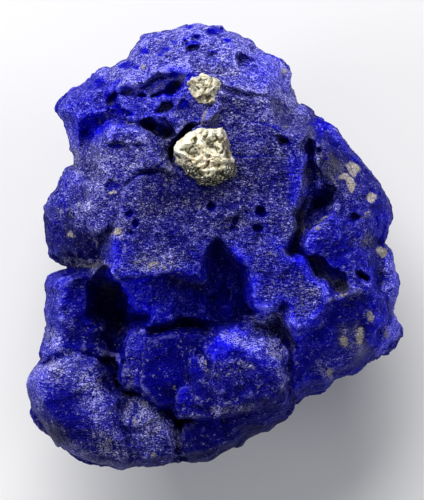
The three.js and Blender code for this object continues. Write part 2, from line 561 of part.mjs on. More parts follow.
// A grain's skin: its folded top, its rounded sides and its seat in the rock, grown by a clearance.
function grainSkin({ at, slope, dome, relief, detail, edge }, grow = 0) {
  const roomAbove = grow > 0 ? 4 : 0;
  const grown = edge.map(([x, y]) => {
    const k = 1 + grow / Math.hypot(x - at[0], y - at[1]);
    return [at[0] + (x - at[0]) * k, at[1] + (y - at[1]) * k];
  });
  const side = (x, y) => THREE.MathUtils.clamp(edgeDistance(x, y, grown) / (0.55 + grow), 0, 1);
  const top = (x, y) => {
    const [dx, dy] = [x - at[0], y - at[1]];
    const fold = Math.abs(fractal(x * 0.7 + y * 0.5, y * 1.3 - x * 0.4, 2.2, 1.2, 2));
    const crest = at[2] + slope[0] * dx + slope[1] * dy - dome * (dx * dx + dy * dy);
    return crest + roomAbove + (grow > 0 ? 0 : relief * (1 - 2 * fold)) - 0.5 * (1 - side(x, y)) ** 2;
  };
  const seat = (x, y) => {
    const [dx, dy] = [x - at[0], y - at[1]];
    const level = at[2] + slope[0] * dx + slope[1] * dy - grainSink - grow;
    return level + 0.6 * (1 - side(x, y)) ** 2;
  };
  return skin(detail, grown, at, 0, top, seat);
}

function stoneGeometry() {
  const whole = skin(stoneDetail, rim, [0, 0], faceShare, faceHeight, backHeight, hollowedFlank);
  let stone = solidFrom(whole);
  const floor = new THREE.BoxGeometry(60, 60, 20).translate(0, 0, -10);
  stone = stone.subtract(solidFrom(floor)); // the flat it rests on
  for (const grain of Object.values(grains)) {
    stone = stone.subtract(solidFrom(grainSkin(grain, grainGap)));
  }
  return geometryFrom(stone);
}

const object = new THREE.Group();
const lapis = new THREE.MeshStandardMaterial({ color: 0x1a1286, roughness: 0.55, metalness: 0 });
const pyrite = new THREE.MeshStandardMaterial({ color: 0xb9ad84, roughness: 0.32, metalness: 0.9 });

function addPiece(name, geometry, material) {
  const mesh = new THREE.Mesh(geometry, material);
  mesh.name = name;
  object.add(mesh);
}

addPiece("lapis_stone", stoneGeometry(), lapis);
for (const [name, grain] of Object.entries(grains)) {
  addPiece(name, geometryFrom(solidFrom(grainSkin(grain))), pyrite);
}

export default object;
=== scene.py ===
import math

import bmesh
import bpy
import numpy as np
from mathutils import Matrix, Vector


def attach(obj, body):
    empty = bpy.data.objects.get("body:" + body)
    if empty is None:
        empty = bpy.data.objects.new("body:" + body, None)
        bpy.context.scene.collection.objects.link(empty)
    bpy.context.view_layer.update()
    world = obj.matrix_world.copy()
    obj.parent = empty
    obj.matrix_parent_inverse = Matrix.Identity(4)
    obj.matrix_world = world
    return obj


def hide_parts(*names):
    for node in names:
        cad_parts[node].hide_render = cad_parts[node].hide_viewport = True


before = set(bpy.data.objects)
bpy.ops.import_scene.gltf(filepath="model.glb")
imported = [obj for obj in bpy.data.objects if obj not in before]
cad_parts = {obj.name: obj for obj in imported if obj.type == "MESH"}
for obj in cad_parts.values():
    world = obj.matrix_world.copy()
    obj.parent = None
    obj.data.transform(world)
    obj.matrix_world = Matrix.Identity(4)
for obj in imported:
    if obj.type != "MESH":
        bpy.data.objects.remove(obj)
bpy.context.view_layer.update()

# A hand-sized piece of lapis lazuli with two pyrite grains. Places and sizes of the shapes are in mm,
# and each piece is brought to metres when its mesh is done.
mm = 0.001
print("frame loaded")

stone = dict(
    girthHeight=10.8,      # mean height of the widest girth above the floor
    girthSway=2.2,         # how far the girth rises and sinks
    crownHeight=20.5,      # highest the face could reach
    faceShoulder=5.0,      # rounded shoulder between girth and face
    backShoulder=7.5,      # the same on the back
    backDepth=12.6,        # bulge of the back if nothing cut it
    flankInset=1.7,        # the flanks' simple outline lies this far inside the girth
    flankWear=0.06,        # share of the radius by which the flanks are hollowed
    thinnest=0.4,          # at the sharp edges
    bedrock=12.6,          # height of the rock between the blocks
    blockBlend=0.35,       # how softly a block grows out of the rock
    hollowBlend=0.2,
    wander=0.36,           # how far cracks and edges stray sideways
    faceShare=0.3,         # share of the skin's points moved over to the face
    subdivisions=8,
    voxel=0.112,           # mesh width before the thinning
    triangles=193000,      # after it
    faceKeep=0.02,         # how much rather the back is thinned than the face
    facets=(0.42, 2.6),    # chipped planes: how far they stand out and how wide they are
    chips=(0.2, 0.9),      # the same of smaller chips
    splinters=(0.09, 0.42),
    crumble=(0.08, 0.9),   # rough break
    grain=(0.03, 0.3),     # finest roughness in the mesh
    sharpness=30,          # of the edges between the chipped planes
    restBand=0.25,         # what lies lower stays flat on the floor
    restSink=0.15,         # how far the lowest points are pressed down before they are cut flat
)

# Edge of the stone seen from above, clockwise from its upper left corner.
rim = [
    (-12, 10.4), (-11.7, 11), (-11.2, 11.6), (-10.7, 11.9), (-10.4, 11.7), (-9.6, 12.2), (-9.1, 12.7),
    (-8.8, 13.2), (-8.2, 13.4), (-7.7, 13.3), (-7.2, 13.8), (-6.5, 14.1), (-6.2, 14.7), (-5.6, 15.4),
    (-5.2, 15.8), (-4.4, 15.95), (-3.2, 16.1), (-2.2, 16.55), (-1.3, 16.8), (-0.2, 16.7), (0.7, 16.65),
    (0.95, 16.3), (1.8, 16), (2.8, 15.3), (3.1, 14.9), (3.9, 14.45), (4.9, 14.2), (5.4, 13.8),
    (5.9, 12.95), (5.65, 12.6), (5.85, 11.7), (6.4, 10.6), (7, 10.55), (7.6, 10), (8.4, 9.5), (9.2, 8.9),
    (10, 8), (10.5, 7.2), (11.4, 6), (12.2, 4.9), (13, 3.8), (13.4, 3.1), (13.65, 2.1), (13.5, 1.7),
    (13.2, 1.4), (13, 0.5), (12.75, 0.15), (13.3, -0.4), (13.6, -1), (13.75, -2), (14.1, -2.9),
    (13.9, -3.7), (13.7, -4.6), (13.75, -5.2), (14.2, -6.2), (14.15, -7), (13.8, -7.9), (13.2, -8.35),
    (12.2, -8.45), (11.5, -9), (10.9, -9.7), (10, -9.9), (9.2, -10.2), (8.7, -10.8), (8, -11), (7, -11.3),
    (6.3, -11.9), (6, -12.5), (5.4, -13.1), (4.8, -13.4), (4.1, -14), (3.4, -14.1), (2.4, -14.6),
    (1.9, -15.2), (1, -15.7), (0.2, -16.1), (-0.5, -16.5), (-1.3, -16.4), (-2.2, -16.2), (-3.6, -16.3),
    (-5, -16.5), (-6.1, -16.5), (-6.9, -16.8), (-7.8, -16.5), (-9.3, -16.6), (-10.3, -16.2),
    (-11.2, -15.4), (-12.2, -14.5), (-13.1, -13.8), (-13.7, -12.9), (-14, -12.3), (-14.15, -11.3),
    (-14.35, -10.4), (-14, -9.7), (-13.4, -9), (-12.8, -8.8), (-13.1, -8.4), (-13, -7.9), (-12.7, -7),
    (-12.6, -6), (-12.75, -4.8), (-12.6, -3.8), (-12.75, -3), (-12.4, -2.3), (-11.6, -2), (-10.8, -1.85),
    (-11, -1.5), (-11.8, -1.2), (-12.3, -0.7), (-12.7, 0.2), (-12.75, 1.5), (-12.8, 3), (-12.4, 3.8),
    (-11.8, 4.3), (-11.5, 5.2), (-11.2, 5.9), (-10.5, 6.1), (-10.6, 7), (-10.9, 8), (-11.1, 9),
    (-11.6, 9.5), (-11.95, 10.1),
]

blocks = {
    "plateau": dict(
        at=(1, 4, 18.9), slope=(-0.07, 0.02), round=0.3, wall=3.5,
        edge=[(-3.4, 5.2), (-3.3, 8.6), (-1, 9.6), (-0.2, 12), (1.5, 11.4), (4.6, 11.2), (6.2, 10.4),
              (6.9, 8.6), (6.3, 7.4), (6.5, 6.4), (6.45, 4), (6.1, 3.3), (5.7, 2.6), (5.8, 1.6), (5.5, 0.5),
              (5.1, 0), (5.2, -0.6), (5.6, -1.1), (6.6, -1.2), (7.1, -1.8), (7.3, -2.4), (8.2, -2.8),
              (8.6, -3.4), (9, -4.2), (8, -6), (6.2, -6.5), (5.7, -4.7), (5.2, -4.4), (4.7, -4.9),
              (4.1, -5.1), (3.4, -4.6), (2.8, -3.8), (2.6, -3.1), (2.4, -2.2), (2.2, -1.6), (1.5, -0.9),
              (0.9, -0.3), (0.4, 0.2), (-0.3, -0.4), (-1, -1.2), (-1.3, -2.1), (-2.2, -2.3), (-3.6, -2.1),
              (-5, -2.2), (-6.6, -2.4), (-7.6, -2.8), (-8.05, -2.2), (-7.6, -1.1), (-7.4, 0.2), (-7.2, 1.2),
              (-6.7, 3.8), (-5.7, 4.8), (-4.6, 5.2), (-3.7, 5.5)],
    ),
    "crown": dict(
        at=(0, 12.6, 18.4), slope=(-0.02, -0.62), round=0.28, wall=2.5,
        edge=[(-3.6, 13), (-1.2, 12.7), (0.3, 12.5), (1.2, 11.9), (4.8, 11.4), (6.3, 10.2), (5.6, 13.4),
              (3, 15.2), (0.8, 16.8), (-3, 16.4), (-5.6, 15.8), (-6.6, 14.2), (-8, 13.6), (-6.5, 12.6)],
    ),
    "brow": dict(
        at=(-4, 11, 17.6), slope=(0.36, -0.4), round=0.35, wall=2.2,
        edge=[(-12.2, 10.4), (-11, 11.9), (-8.2, 13.6), (-5, 14.8), (-2.6, 13.8), (0.4, 12.8), (0.6, 10.4),
              (-0.4, 9.2), (-1.8, 8.9), (-3, 9), (-4.3, 9.4), (-6, 9.5), (-7, 9.7), (-8.2, 10), (-9.7, 9.9),
              (-10.6, 9), (-11.4, 9.2)],
    ),
    "cheek": dict(
        at=(-6.2, 5.5, 19), slope=(0.42, -0.05), round=0.42, wall=3,
        edge=[(-9.8, 6.2), (-8.6, 7.6), (-8, 8.3), (-7.5, 8.7), (-6, 8.9), (-5.2, 8.5), (-4.8, 7.8),
              (-4.3, 6.9), (-3.8, 6.1), (-3.2, 5.2), (-4.2, 5.6), (-5.4, 5.3), (-6.2, 4.6), (-6.8, 3.6),
              (-7.2, 1.2), (-8.8, 1), (-10.2, 2.3), (-11, 3.4), (-10.4, 4.6)],
    ),
    "cap": dict(
        at=(-6.3, 8.2, 18.5), slope=(0.12, -0.35), round=0.3, wall=2.6,
        edge=[(-8, 8.1), (-7.6, 8.65), (-6.7, 8.95), (-5.7, 8.9), (-5, 8.4), (-4.7, 7.5), (-5.3, 7.75),
              (-6.2, 8), (-7.1, 7.7), (-7.8, 7.8)],
    ),
    "temple": dict(
        at=(-11.3, 4, 15.6), slope=(0.5, -0.35), round=0.42, wall=2.5,
        edge=[(-11.4, 5.9), (-10.2, 6.2), (-9.4, 5), (-9.6, 2.4), (-11.4, 1.6), (-12.9, 2), (-12.9, 3.2),
              (-12.3, 4), (-11.8, 4.5)],
    ),
    "jowl": dict(
        at=(-10, 0.8, 16), slope=(0.28, 0.55), round=0.35, wall=4,
        edge=[(-12.8, 2.2), (-11.6, 1.7), (-11.2, 3.2), (-10.2, 2.2), (-8.8, 1), (-7.2, 0.9), (-7.4, -1.1),
              (-8.3, -1.3), (-11.6, -1.3), (-12.8, -0.4)],
    ),
    "column": dict(
        at=(-11.4, -4.6, 14.7), slope=(-0.3, 0.12), round=0.42, wall=3,
        edge=[(-12.8, -2.4), (-11.6, -2), (-10.6, -1.8), (-9, -2), (-8, -2.8), (-7.4, -5), (-7.2, -8.2),
              (-13.2, -8.6), (-12.8, -6)],
    ),
    "knuckle": dict(
        at=(-9.6, -7.3, 14.2), slope=(-0.35, -0.2), round=0.6, wall=2.5,
        edge=[(-10.6, -6.5), (-9.2, -6.2), (-7.6, -6.6), (-7.4, -8.4), (-10.2, -8.4)],
    ),
    "heel": dict(
        at=(-10.4, -11.4, 15.4), slope=(0.04, -0.06), round=1.12, wall=2, dome=0.04,
        edge=[(-13.6, -9), (-12, -8.7), (-10.8, -8.3), (-9, -8.4), (-8.2, -9.6), (-7.8, -10.6),
              (-6.9, -11.5), (-6.8, -13.6), (-6.1, -14.8), (-5.6, -16.8), (-9.5, -16.9), (-12.4, -15),
              (-14.4, -12), (-14.5, -10)],
    ),
    "sill": dict(
        at=(-8, -9.6, 12.2), slope=(-0.5, 0), round=0.28, wall=3,
        edge=[(-9.2, -8.5), (-7, -8.4), (-6.6, -9.4), (-6.4, -10.8), (-7.2, -11.6), (-8.6, -10.8)],
    ),
    "lip": dict(
        at=(-5.8, -3, 18.2), slope=(0.05, 0.55), round=0.3, wall=4,
        edge=[(-7.9, -2.3), (-7.2, -3), (-6.8, -3.6), (-6.3, -5.1), (-5.2, -5.15), (-4.5, -4.6),
              (-4.4, -3.8), (-4.8, -2.6), (-5, -1.6), (-7.4, -1)],
    ),
    "rib": dict(
        at=(-3.6, -3.6, 17), slope=(-0.75, 0.5), round=0.3, wall=3,
        edge=[(-4.9, -2), (-4.7, -2.9), (-4.2, -4), (-4.9, -5), (-4.8, -5.9), (-3.4, -5.8), (-1.6, -5.5),
              (-0.5, -5.7), (0, -5.5), (-0.8, -4.4), (-2, -3), (-2.2, -2.3), (-1.3, -1.9), (-2.6, -1)],
    ),
    "tooth": dict(
        at=(-5.1, -6, 15), slope=(0, 0.3), round=0.25, wall=3,
        edge=[(-5.9, -5.7), (-4.9, -5.5), (-4.4, -6.3), (-5, -6.6), (-5.9, -6.1)],
    ),
    "slab": dict(
        at=(-5.9, -8.4, 16.3), slope=(0.1, 0.05), round=0.25, wall=5,
        edge=[(-6.4, -6.3), (-5.7, -5.9), (-5, -6.5), (-4.9, -7.1), (-5.2, -8.4), (-5.3, -9.6),
              (-5.1, -10.8), (-6.1, -10.5), (-6.6, -9.9), (-6.85, -8.5), (-6.8, -7.2)],
    ),
    "molar": dict(
        at=(-3.6, -8.8, 16.6), slope=(-0.1, 0.02), round=0.49, wall=4, dome=0.05,
        edge=[(-5.3, -7.7), (-4.7, -6.9), (-3, -7), (-1, -6.8), (0.3, -7), (0.3, -9), (-1.2, -11.8),
              (-2.9, -11.8), (-4.3, -12.1), (-4.9, -11.4), (-5.3, -10.2), (-5.6, -9)],
    ),
    "blade": dict(
        at=(-1.4, -10.6, 17.2), slope=(0.25, 0.12), round=0.35, wall=4,
        edge=[(-1.9, -8.6), (-1.3, -8.2), (-0.6, -8.9), (-0.4, -10.6), (-0.2, -12.9), (-0.9, -12.75),
              (-2.6, -12.6), (-2.9, -12), (-2.6, -10.9), (-2, -10.2)],
    ),
    "fist": dict(
        at=(2.4, -9.6, 18.6), slope=(-0.1, -0.1), round=0.91, wall=3.5, dome=0.07,
        edge=[(-0.6, -8.1), (0, -7.1), (0.8, -6.6), (1.8, -6.1), (2.6, -6.3), (3.3, -6.9), (4.6, -7.1),
              (5.3, -7.8), (5.5, -8.8), (5.9, -10.5), (5.9, -11.4), (5.2, -12.5), (3.6, -12.7), (1, -12.7),
              (-0.1, -12.9), (-0.3, -10.5), (-0.5, -8.9)],
    ),
    "base": dict(
        at=(0, -14.2, 14.9), slope=(0, 0.22), round=0.7, wall=2.5,
        edge=[(-2.2, -13.8), (-1.3, -13.2), (0, -13.1), (2, -12.9), (4, -12.9), (5.6, -12.3), (5.4, -13.2),
              (2.4, -14.8), (0.2, -16.2), (-0.5, -16.6), (-2.3, -16.4), (-2.6, -15)],
    ),
    "knob": dict(
        at=(-5, -13.6, 15.2), slope=(-0.1, 0.12), round=0.7, wall=2.5, dome=0.06,
        edge=[(-6.2, -11.4), (-5.4, -11.1), (-4.6, -11.8), (-3.8, -12.6), (-3.3, -13.6), (-2.7, -15),
              (-2.4, -16.4), (-5.8, -16.6), (-6.2, -14.8), (-6.9, -13.3), (-6.8, -12.3)],
    ),
    "cliff": dict(
        at=(9, 3, 17.4), slope=(-0.42, -0.05), round=0.42, wall=4,
        edge=[(6.6, 10.8), (7.1, 9.2), (7.5, 8), (7.7, 6.2), (7.8, 5.6), (7.9, 4.4), (8.8, 4.2), (9, 3.1),
              (8.4, 2.3), (7.5, 1.6), (6.9, 1), (6.8, 0), (7.2, -0.8), (8.1, -1.3), (9, -2.2), (9.8, -2.7),
              (10, -3.3), (9.7, -3.9), (12.2, -4.2), (12.4, -0.2), (13.2, 0.4), (13.9, 2), (11.5, 6.6),
              (9, 9.4), (7, 11)],
    ),
    "nose": dict(
        at=(7.8, 0.8, 18.2), slope=(-0.22, 0.1), round=0.49, wall=4, dome=0.08,
        edge=[(7, 1.1), (7.6, 1.6), (8.5, 2.3), (9.6, 2), (9.8, 0.4), (8.6, -0.8), (7.3, -0.7), (6.85, 0)],
    ),
    "flank": dict(
        at=(8, -5.4, 16.7), slope=(-0.32, 0.42), round=0.56, wall=3,
        edge=[(5.8, -4.6), (7.2, -3.6), (9, -4), (10.2, -3.7), (12.6, -4.2), (13, -7.4), (11.6, -9.2),
              (9.4, -10.4), (7, -11.6), (5.8, -10.5), (5.8, -9), (5.9, -6.5)],
    ),
    "hip": dict(
        at=(12.6, -3.4, 13.6), slope=(-0.5, 0.05), round=0.49, wall=3,
        edge=[(12.3, -0.2), (13.3, 0.3), (14.4, -3), (14.4, -6.8), (13, -8.6), (11.6, -8.2), (11.8, -5.4),
              (12.2, -4), (12.1, -2.2)],
    ),
    "chin": dict(
        at=(6.2, -10.2, 15.2), slope=(0, 0.2), round=0.35, wall=3, dome=0.1,
        edge=[(5.8, -9.4), (6.6, -9.8), (6.9, -10.6), (6.4, -11.2), (5.9, -11), (5.6, -10.2)],
    ),
}

# How each block looks: how much blue it gives back, how much white dust and painted sheen, polish, how
# rugged it is.
# Some of these numbers are painted light: the bedrock's blue is raised as painted fill light for the
# hollows it shows in, the lip and rib are bluer to make up for the light their faces turn away from, and
# the crown's white is partly painted sheen.
looks = dict(
    bedrock=(0.25, 0.012, 0.2, 1),
    plateau=(0.16, 0.051, 0.1, 0.3), crown=(0.32, 0.178, 0.2, 0.4), brow=(0.33, 0.046, 0.3, 0.6),
    cheek=(0.2, 0.086, 0.2, 0.5), cap=(0.34, 0.02, 0.3, 0.5), temple=(0.2, 0.05, 0.3, 0.6),
    jowl=(0.11, 0.009, 0.2, 0.7), column=(0.2, 0.012, 0.4, 0.5), knuckle=(0.12, 0.004, 0.3, 0.5),
    heel=(0.19, 0.033, 0.6, 0.22), sill=(0.1, 0.003, 0.4, 0.4), lip=(0.44, 0.014, 0.3, 0.6),
    rib=(0.38, 0.014, 0.3, 0.6), tooth=(0.16, 0.008, 0.3, 0.6), slab=(0.27, 0.01, 0.3, 0.6),
    molar=(0.15, 0.0022, 0.35, 0.35), blade=(0.15, 0.006, 0.4, 0.6), fist=(0.165, 0.006, 0.3, 0.8),
    base=(0.09, 0.003, 0.5, 0.4), knob=(0.14, 0.036, 0.5, 0.7), cliff=(0.2, 0.024, 0.3, 0.6),
    nose=(0.23, 0.028, 0.4, 0.5), flank=(0.27, 0.004, 0.45, 0.45), hip=(0.5, 0.12, 0.5, 0.5),
    chin=(0.36, 0.006, 0.6, 0.3),
)

hollows = {
    "cave": dict(
        at=(1.2, -3, 12.6), slope=(-0.8, 0), width=0.7, rise=9,
        edge=[(0.1, 0.2), (0.5, 0.25), (0.9, -0.4), (1.6, -1), (2.3, -1.6), (2.5, -2.3), (2.65, -3.1),
              (2.9, -3.8), (3.5, -4.6), (4.1, -5.1), (3.4, -5.8), (2.2, -6.1), (0.8, -6.45), (0.1, -6.1),
              (-0.6, -5.5), (-1.6, -4.6), (-2.3, -3.2), (-2, -2.5), (-1.2, -2.2), (-1, -1.2), (-0.3, -0.4)],
    ),
    "recess": dict(
        at=(4.3, -6, 15.4), slope=(0.4, -0.2), width=0.35, rise=4,
        edge=[(2.8, -4.2), (3.4, -4.6), (4.1, -5.1), (4.7, -4.9), (5.1, -4.5), (5.6, -4.8), (5.75, -5.6),
              (5.8, -6.5), (6.2, -7.7), (5.2, -7.5), (4.5, -7.1), (3.4, -6.7), (2.6, -6.1), (2, -5.6)],
    ),
    "fissure": dict(
        at=(7.3, 3, 15.4), slope=(0.25, 0.02), width=0.45, rise=6,
        edge=[(6.7, 8.2), (7.3, 8), (7.65, 6.4), (7.95, 5.4), (7.9, 4.3), (8.8, 4), (9.05, 3.2), (8.3, 2.3),
              (7.4, 1.5), (6.9, 1), (6.75, 0), (7.2, -0.6), (8.2, -0.8), (9.1, -1.3), (9.9, -1.9),
              (10.2, -2.8), (9.9, -3.6), (9, -4.1), (8.6, -3.4), (8.2, -2.8), (7.3, -2.4), (7.1, -1.8),
              (6.6, -1.2), (5.6, -1.1), (5.2, -0.6), (5.1, 0), (5.5, 0.5), (5.8, 1.6), (5.7, 2.6),
              (6.1, 3.3), (6.5, 4), (6.5, 5.8)],
    ),
    "void": dict(
        at=(-7.5, -5.5, 8.6), slope=(-1.4, 0), width=1.6, rise=5,
        edge=[(-10, -2.2), (-8.4, -1.7), (-7.8, -2.6), (-7, -3), (-6.6, -3.7), (-6.25, -5), (-5, -5.3),
              (-5.2, -5.7), (-5.9, -6), (-6.5, -6.5), (-6.85, -7.3), (-6.85, -8.4), (-8.4, -8.3),
              (-8.8, -6.6), (-9.6, -6), (-10.2, -5.2)],
    ),
    "slot": dict(
        at=(-6.8, -10.4, 11), slope=(-1, 0.3), width=0.7, rise=6,
        edge=[(-8.2, -9.4), (-7, -8.2), (-6.7, -9.6), (-6.2, -10.5), (-5.1, -10.9), (-5, -11.4),
              (-5.6, -11.3), (-6.4, -11.6), (-7.2, -11.2), (-8, -10.6)],
    ),
    "seam": dict(
        at=(-2.5, -6.2, 13.6), slope=(0, 0), width=0.3, rise=6,
        edge=[(-5.3, -5.1), (-4.8, -5.4), (-4.5, -6.15), (-3.5, -6.2), (-2.4, -5.95), (-0.4, -5.9),
              (0.3, -6.2), (-0.4, -6.35), (-2.4, -6.5), (-4.2, -6.75), (-4.8, -6.5)],
    ),
    "gully": dict(
        at=(-5, 9, 16.1), slope=(0, 0.1), width=0.5, rise=5,
        edge=[(-10, 9.2), (-9, 9.7), (-7, 9.5), (-5, 9.4), (-4.2, 9.6), (-3, 9.1), (-2.6, 8.2), (-3.6, 7.6),
              (-4.6, 8), (-5.3, 8.6), (-6, 9.05), (-7.6, 8.9), (-8.2, 8.4), (-9.6, 7.2), (-10.3, 7.6)],
    ),
    "trench": dict(
        at=(-3.2, 7, 16.2), slope=(0, 0.2), width=0.35, rise=4,
        edge=[(-1.1, 9.15), (-2.2, 8.85), (-3.1, 8.2), (-3.6, 7.3), (-3.65, 6.2), (-3.2, 5.3), (-2.8, 5.3),
              (-2.9, 6.3), (-2.8, 7.2), (-2.4, 7.8), (-1.4, 8.6), (-0.9, 8.8)],
    ),
    "socket": dict(
        at=(-4.9, 9.2, 14.8), slope=(0, 0.2), width=0.35, rise=4,
        edge=[(-5.5, 9.3), (-5.2, 9.75), (-4.6, 9.8), (-4.1, 9.4), (-4.3, 8.8), (-4.8, 8.5), (-5.3, 8.8)],
    ),
    "pocket": dict(
        at=(-2.5, -13.3, 11.8), slope=(0, 0), width=0.6, rise=5,
        edge=[(-3.1, -12.6), (-1.2, -12.8), (-1.4, -13.3), (-2, -13.9), (-2.4, -15), (-3, -14.4),
              (-3.5, -13.3), (-4.2, -12.3)],
    ),
    "dimple": dict(
        at=(2.3, 14.1, 16.2), slope=(0, -0.6), width=0.5, rise=4,
        edge=[(1.1, 14.6), (1.9, 15.1), (3, 14.9), (3.7, 14), (3.7, 13.2), (2.6, 13), (1.5, 13.6)],
    ),
    "eye": dict(
        at=(4.9, 7.9, 17.2), slope=(0, -0.3), width=0.5, rise=4,
        edge=[(4.2, 8.4), (4.9, 8.5), (5.7, 8.2), (5.6, 7.5), (5, 7.1), (4.5, 7.4)],
    ),
    "niche": dict(
        at=(8, 8.8, 14.6), slope=(0, -0.4), width=0.4, rise=4,
        edge=[(7.3, 9.3), (8.6, 9.3), (8.8, 8.9), (8.3, 8.2), (7.7, 8.1)],
    ),
    "notch": dict(
        at=(11.2, -2.4, 14), slope=(0, 0), width=0.4, rise=4,
        edge=[(10.15, -1.9), (10.9, -1.8), (11.6, -2.1), (12.1, -2.6), (11.9, -3), (11.2, -3),
              (10.5, -2.7)],
    ),
}

pits = [
    (-1.9, 16.35, 0.38, 0.2, 0, 0.4), (-1.35, 15.5, 0.34, 0.19, 10, 0.4), (-1.6, 14.9, 0.55, 0.2, 5, 0.5),
    (-2.2, 15.25, 0.21, 0.16, 0, 0.3), (-3, 15.05, 0.35, 0.15, 0, 0.35), (-3.6, 14.6, 0.36, 0.18, 0, 0.4),
    (-4, 14.2, 0.2, 0.15, 0, 0.3), (-5.1, 14.5, 0.38, 0.25, 20, 0.25), (-6.55, 13.45, 0.6, 0.26, 12, 0.5),
    (-5.7, 13.3, 0.31, 0.18, 10, 0.3), (-8.6, 12.15, 0.4, 0.32, 20, 0.5),
    (-9.3, 11.85, 0.2, 0.16, 20, 0.3), (-7.2, 12.2, 0.38, 0.19, 20, 0.3),
    (-7.6, 11.2, 0.42, 0.66, -15, 0.8), (-6.5, 11.55, 0.6, 0.36, 0, 0.45),
    (-5.3, 11.3, 0.35, 0.18, 0, 0.4), (-7.5, 10.25, 0.5, 0.33, 20, 0.6), (-6.7, 9.95, 0.79, 0.26, -8, 0.6),
    (-3.65, 10.2, 0.7, 0.44, 25, 1.1), (-2.95, 11.7, 0.8, 0.46, 42, 1.4), (-4.1, 11.3, 0.5, 0.22, 15, 0.8),
    (-2.2, 10.5, 0.4, 0.38, 0, 0.25), (0.1, 16.1, 0.69, 0.3, 12, 0.5), (1, 15.35, 0.4, 0.18, 0, 0.3),
    (-0.1, 14.45, 0.33, 0.18, 0, 0.3), (-0.1, 2.85, 0.32, 0.32, 0, 0.6), (1.65, 2.9, 0.18, 0.14, 0, 0.25),
    (3.5, 2.45, 0.42, 0.46, 10, 0.7), (3.3, 1.2, 0.32, 0.3, 0, 0.6), (1.6, 1.7, 0.22, 0.26, 0, 0.25),
    (1.5, 1.15, 0.38, 0.18, 0, 0.2), (-1.3, 2.5, 0.16, 0.16, 0, 0.2), (2.5, 2.4, 0.18, 0.16, 0, 0.25),
    (-7.5, 4.5, 0.6, 0.4, 0, 0.2), (-6.2, 2.35, 0.36, 0.26, 30, 0.3), (-5.75, 1.7, 0.3, 0.34, 0, 0.35),
    (-6.1, 1.05, 0.24, 0.2, 0, 0.25), (-7.2, 7.4, 0.75, 0.16, -6, 0.25), (7.9, 8.8, 0.8, 0.45, 40, 0.8),
    (-5.6, 7.4, 0.5, 0.12, 10, 0.2), (-5.2, 5.15, 1.2, 0.11, 12, 0.3), (3.2, 6.65, 2.1, 0.09, 2, 0.18),
    (3.95, 8.95, 1.1, 0.09, -16, 0.2), (5.5, 7.6, 0.12, 0.5, 20, 0.2), (-3.8, 6.1, 0.7, 0.1, 45, 0.25),
    (7.9, 7.1, 0.3, 0.16, 60, 0.3), (8.4, 6.4, 0.2, 0.14, 0, 0.25), (-11.2, 2.9, 0.1, 1.1, 0, 0.25),
    (9.2, 5.2, 0.24, 0.2, 0, 0.3), (-4.55, -4, 1.3, 0.1, 78, 0.3), (-5.7, -3.2, 0.9, 0.1, 60, 0.15),
    (-2.6, -4.4, 1.2, 0.1, -55, 0.15), (-8.9, -6, 0.9, 0.1, 20, 0.2), (-5.35, -8.6, 1.8, 0.08, 86, 0.2),
    (11.1, 2.15, 0.5, 0.32, 15, 0.6), (10.35, 5.75, 0.22, 0.18, 0, 0.25), (9.9, 5.3, 0.14, 0.14, 0, 0.25),
    (11.75, 3.6, 0.2, 0.2, 0, 0.12),
]

# Away from the girth the flanks follow a simpler outline.
flankRim = [
    (-1.5, 15.4), (3, 13.6), (5.2, 10.6), (8.6, 7.6), (11.8, 3.4), (12.6, -2), (12.5, -6.6), (9, -9),
    (4.6, -12.5), (-0.6, -14.9), (-6.5, -15.4), (-10.6, -14), (-12.8, -10.6), (-11.4, -6.8), (-11.3, -3),
    (-10.9, 0.5), (-11.3, 3.2), (-9.4, 6.4), (-10.3, 9.8), (-7.4, 12.5), (-4.6, 14.6),
]

# Large fracture planes of the back: a point on each and its slope along X and Y.
backPlanes = [
    ((13.2, -1.5, 9.4), (2.1, 0.3)), ((10.6, 5.5, 8.6), (1.2, 0.95)), ((9.5, -9.2, 8.4), (0.75, -1.35)),
    ((1.5, -15, 7.6), (0.3, -1.3)), ((-11.5, -13.5, 8), (-0.95, -0.75)), ((-12.2, -1, 9.2), (-1.9, -0.3)),
    ((-9.5, 11.5, 9), (-0.95, 0.85)), ((0.5, 15.6, 9), (0.1, 1.6)), ((-4.5, 5, 0.2), (-0.13, 0.12)),
    ((5.5, -6, 0.3), (0.12, -0.16)),
]


def edgeDistance(x, y, outline):  # signed distance to a closed outline in plan, positive inside
    nearest = np.full(x.shape, 1e9)
    inside = np.zeros(x.shape, bool)
    for (ax, ay), (bx, by) in zip(outline, outline[1:] + outline[:1]):
        dx, dy = bx - ax, by - ay
        t = np.clip(((x - ax) * dx + (y - ay) * dy) / (dx * dx + dy * dy), 0, 1)
        nearest = np.minimum(nearest, (x - ax - t * dx) ** 2 + (y - ay - t * dy) ** 2)
        if ay != by:
            inside ^= ((ay > y) != (by > y)) & (x < ax + (y - ay) * dx / dy)
    return np.where(inside, 1, -1) * np.sqrt(nearest)


def edgeRadius(angle, outline, cx=0, cy=0):  # how far a ray from the centre runs to the outline
    ux, uy = np.cos(angle), np.sin(angle)
    reach = np.zeros(angle.shape)
    for (ax, ay), (bx, by) in zip(outline, outline[1:] + outline[:1]):
        px, py, dx, dy = ax - cx, ay - cy, bx - ax, by - ay
        cross = ux * dy - uy * dx
        cross = np.where(np.abs(cross) < 1e-9, 1e-9, cross)
        along, t = (px * dy - py * dx) / cross, (px * uy - py * ux) / cross
        hit = (along > 0) & (t >= 0) & (t <= 1)
        reach = np.where(hit, np.maximum(reach, along), reach)
    return reach


def softMax(a, b, k):
    h = np.clip(0.5 + 0.5 * (a - b) / k, 0, 1)
    return b + (a - b) * h + k * h * (1 - h)


def softMin(a, b, k):
    return -softMax(-a, -b, k)


def smoothStep(t, low, high):
    t = np.clip((t - low) / (high - low), 0, 1)
    return t * t * (3 - 2 * t)


def latticeValue(i, j, k):
    v = np.sin(i * 127.1 + j * 311.7 + k * 74.7) * 43758.5453
    return v - np.floor(v)


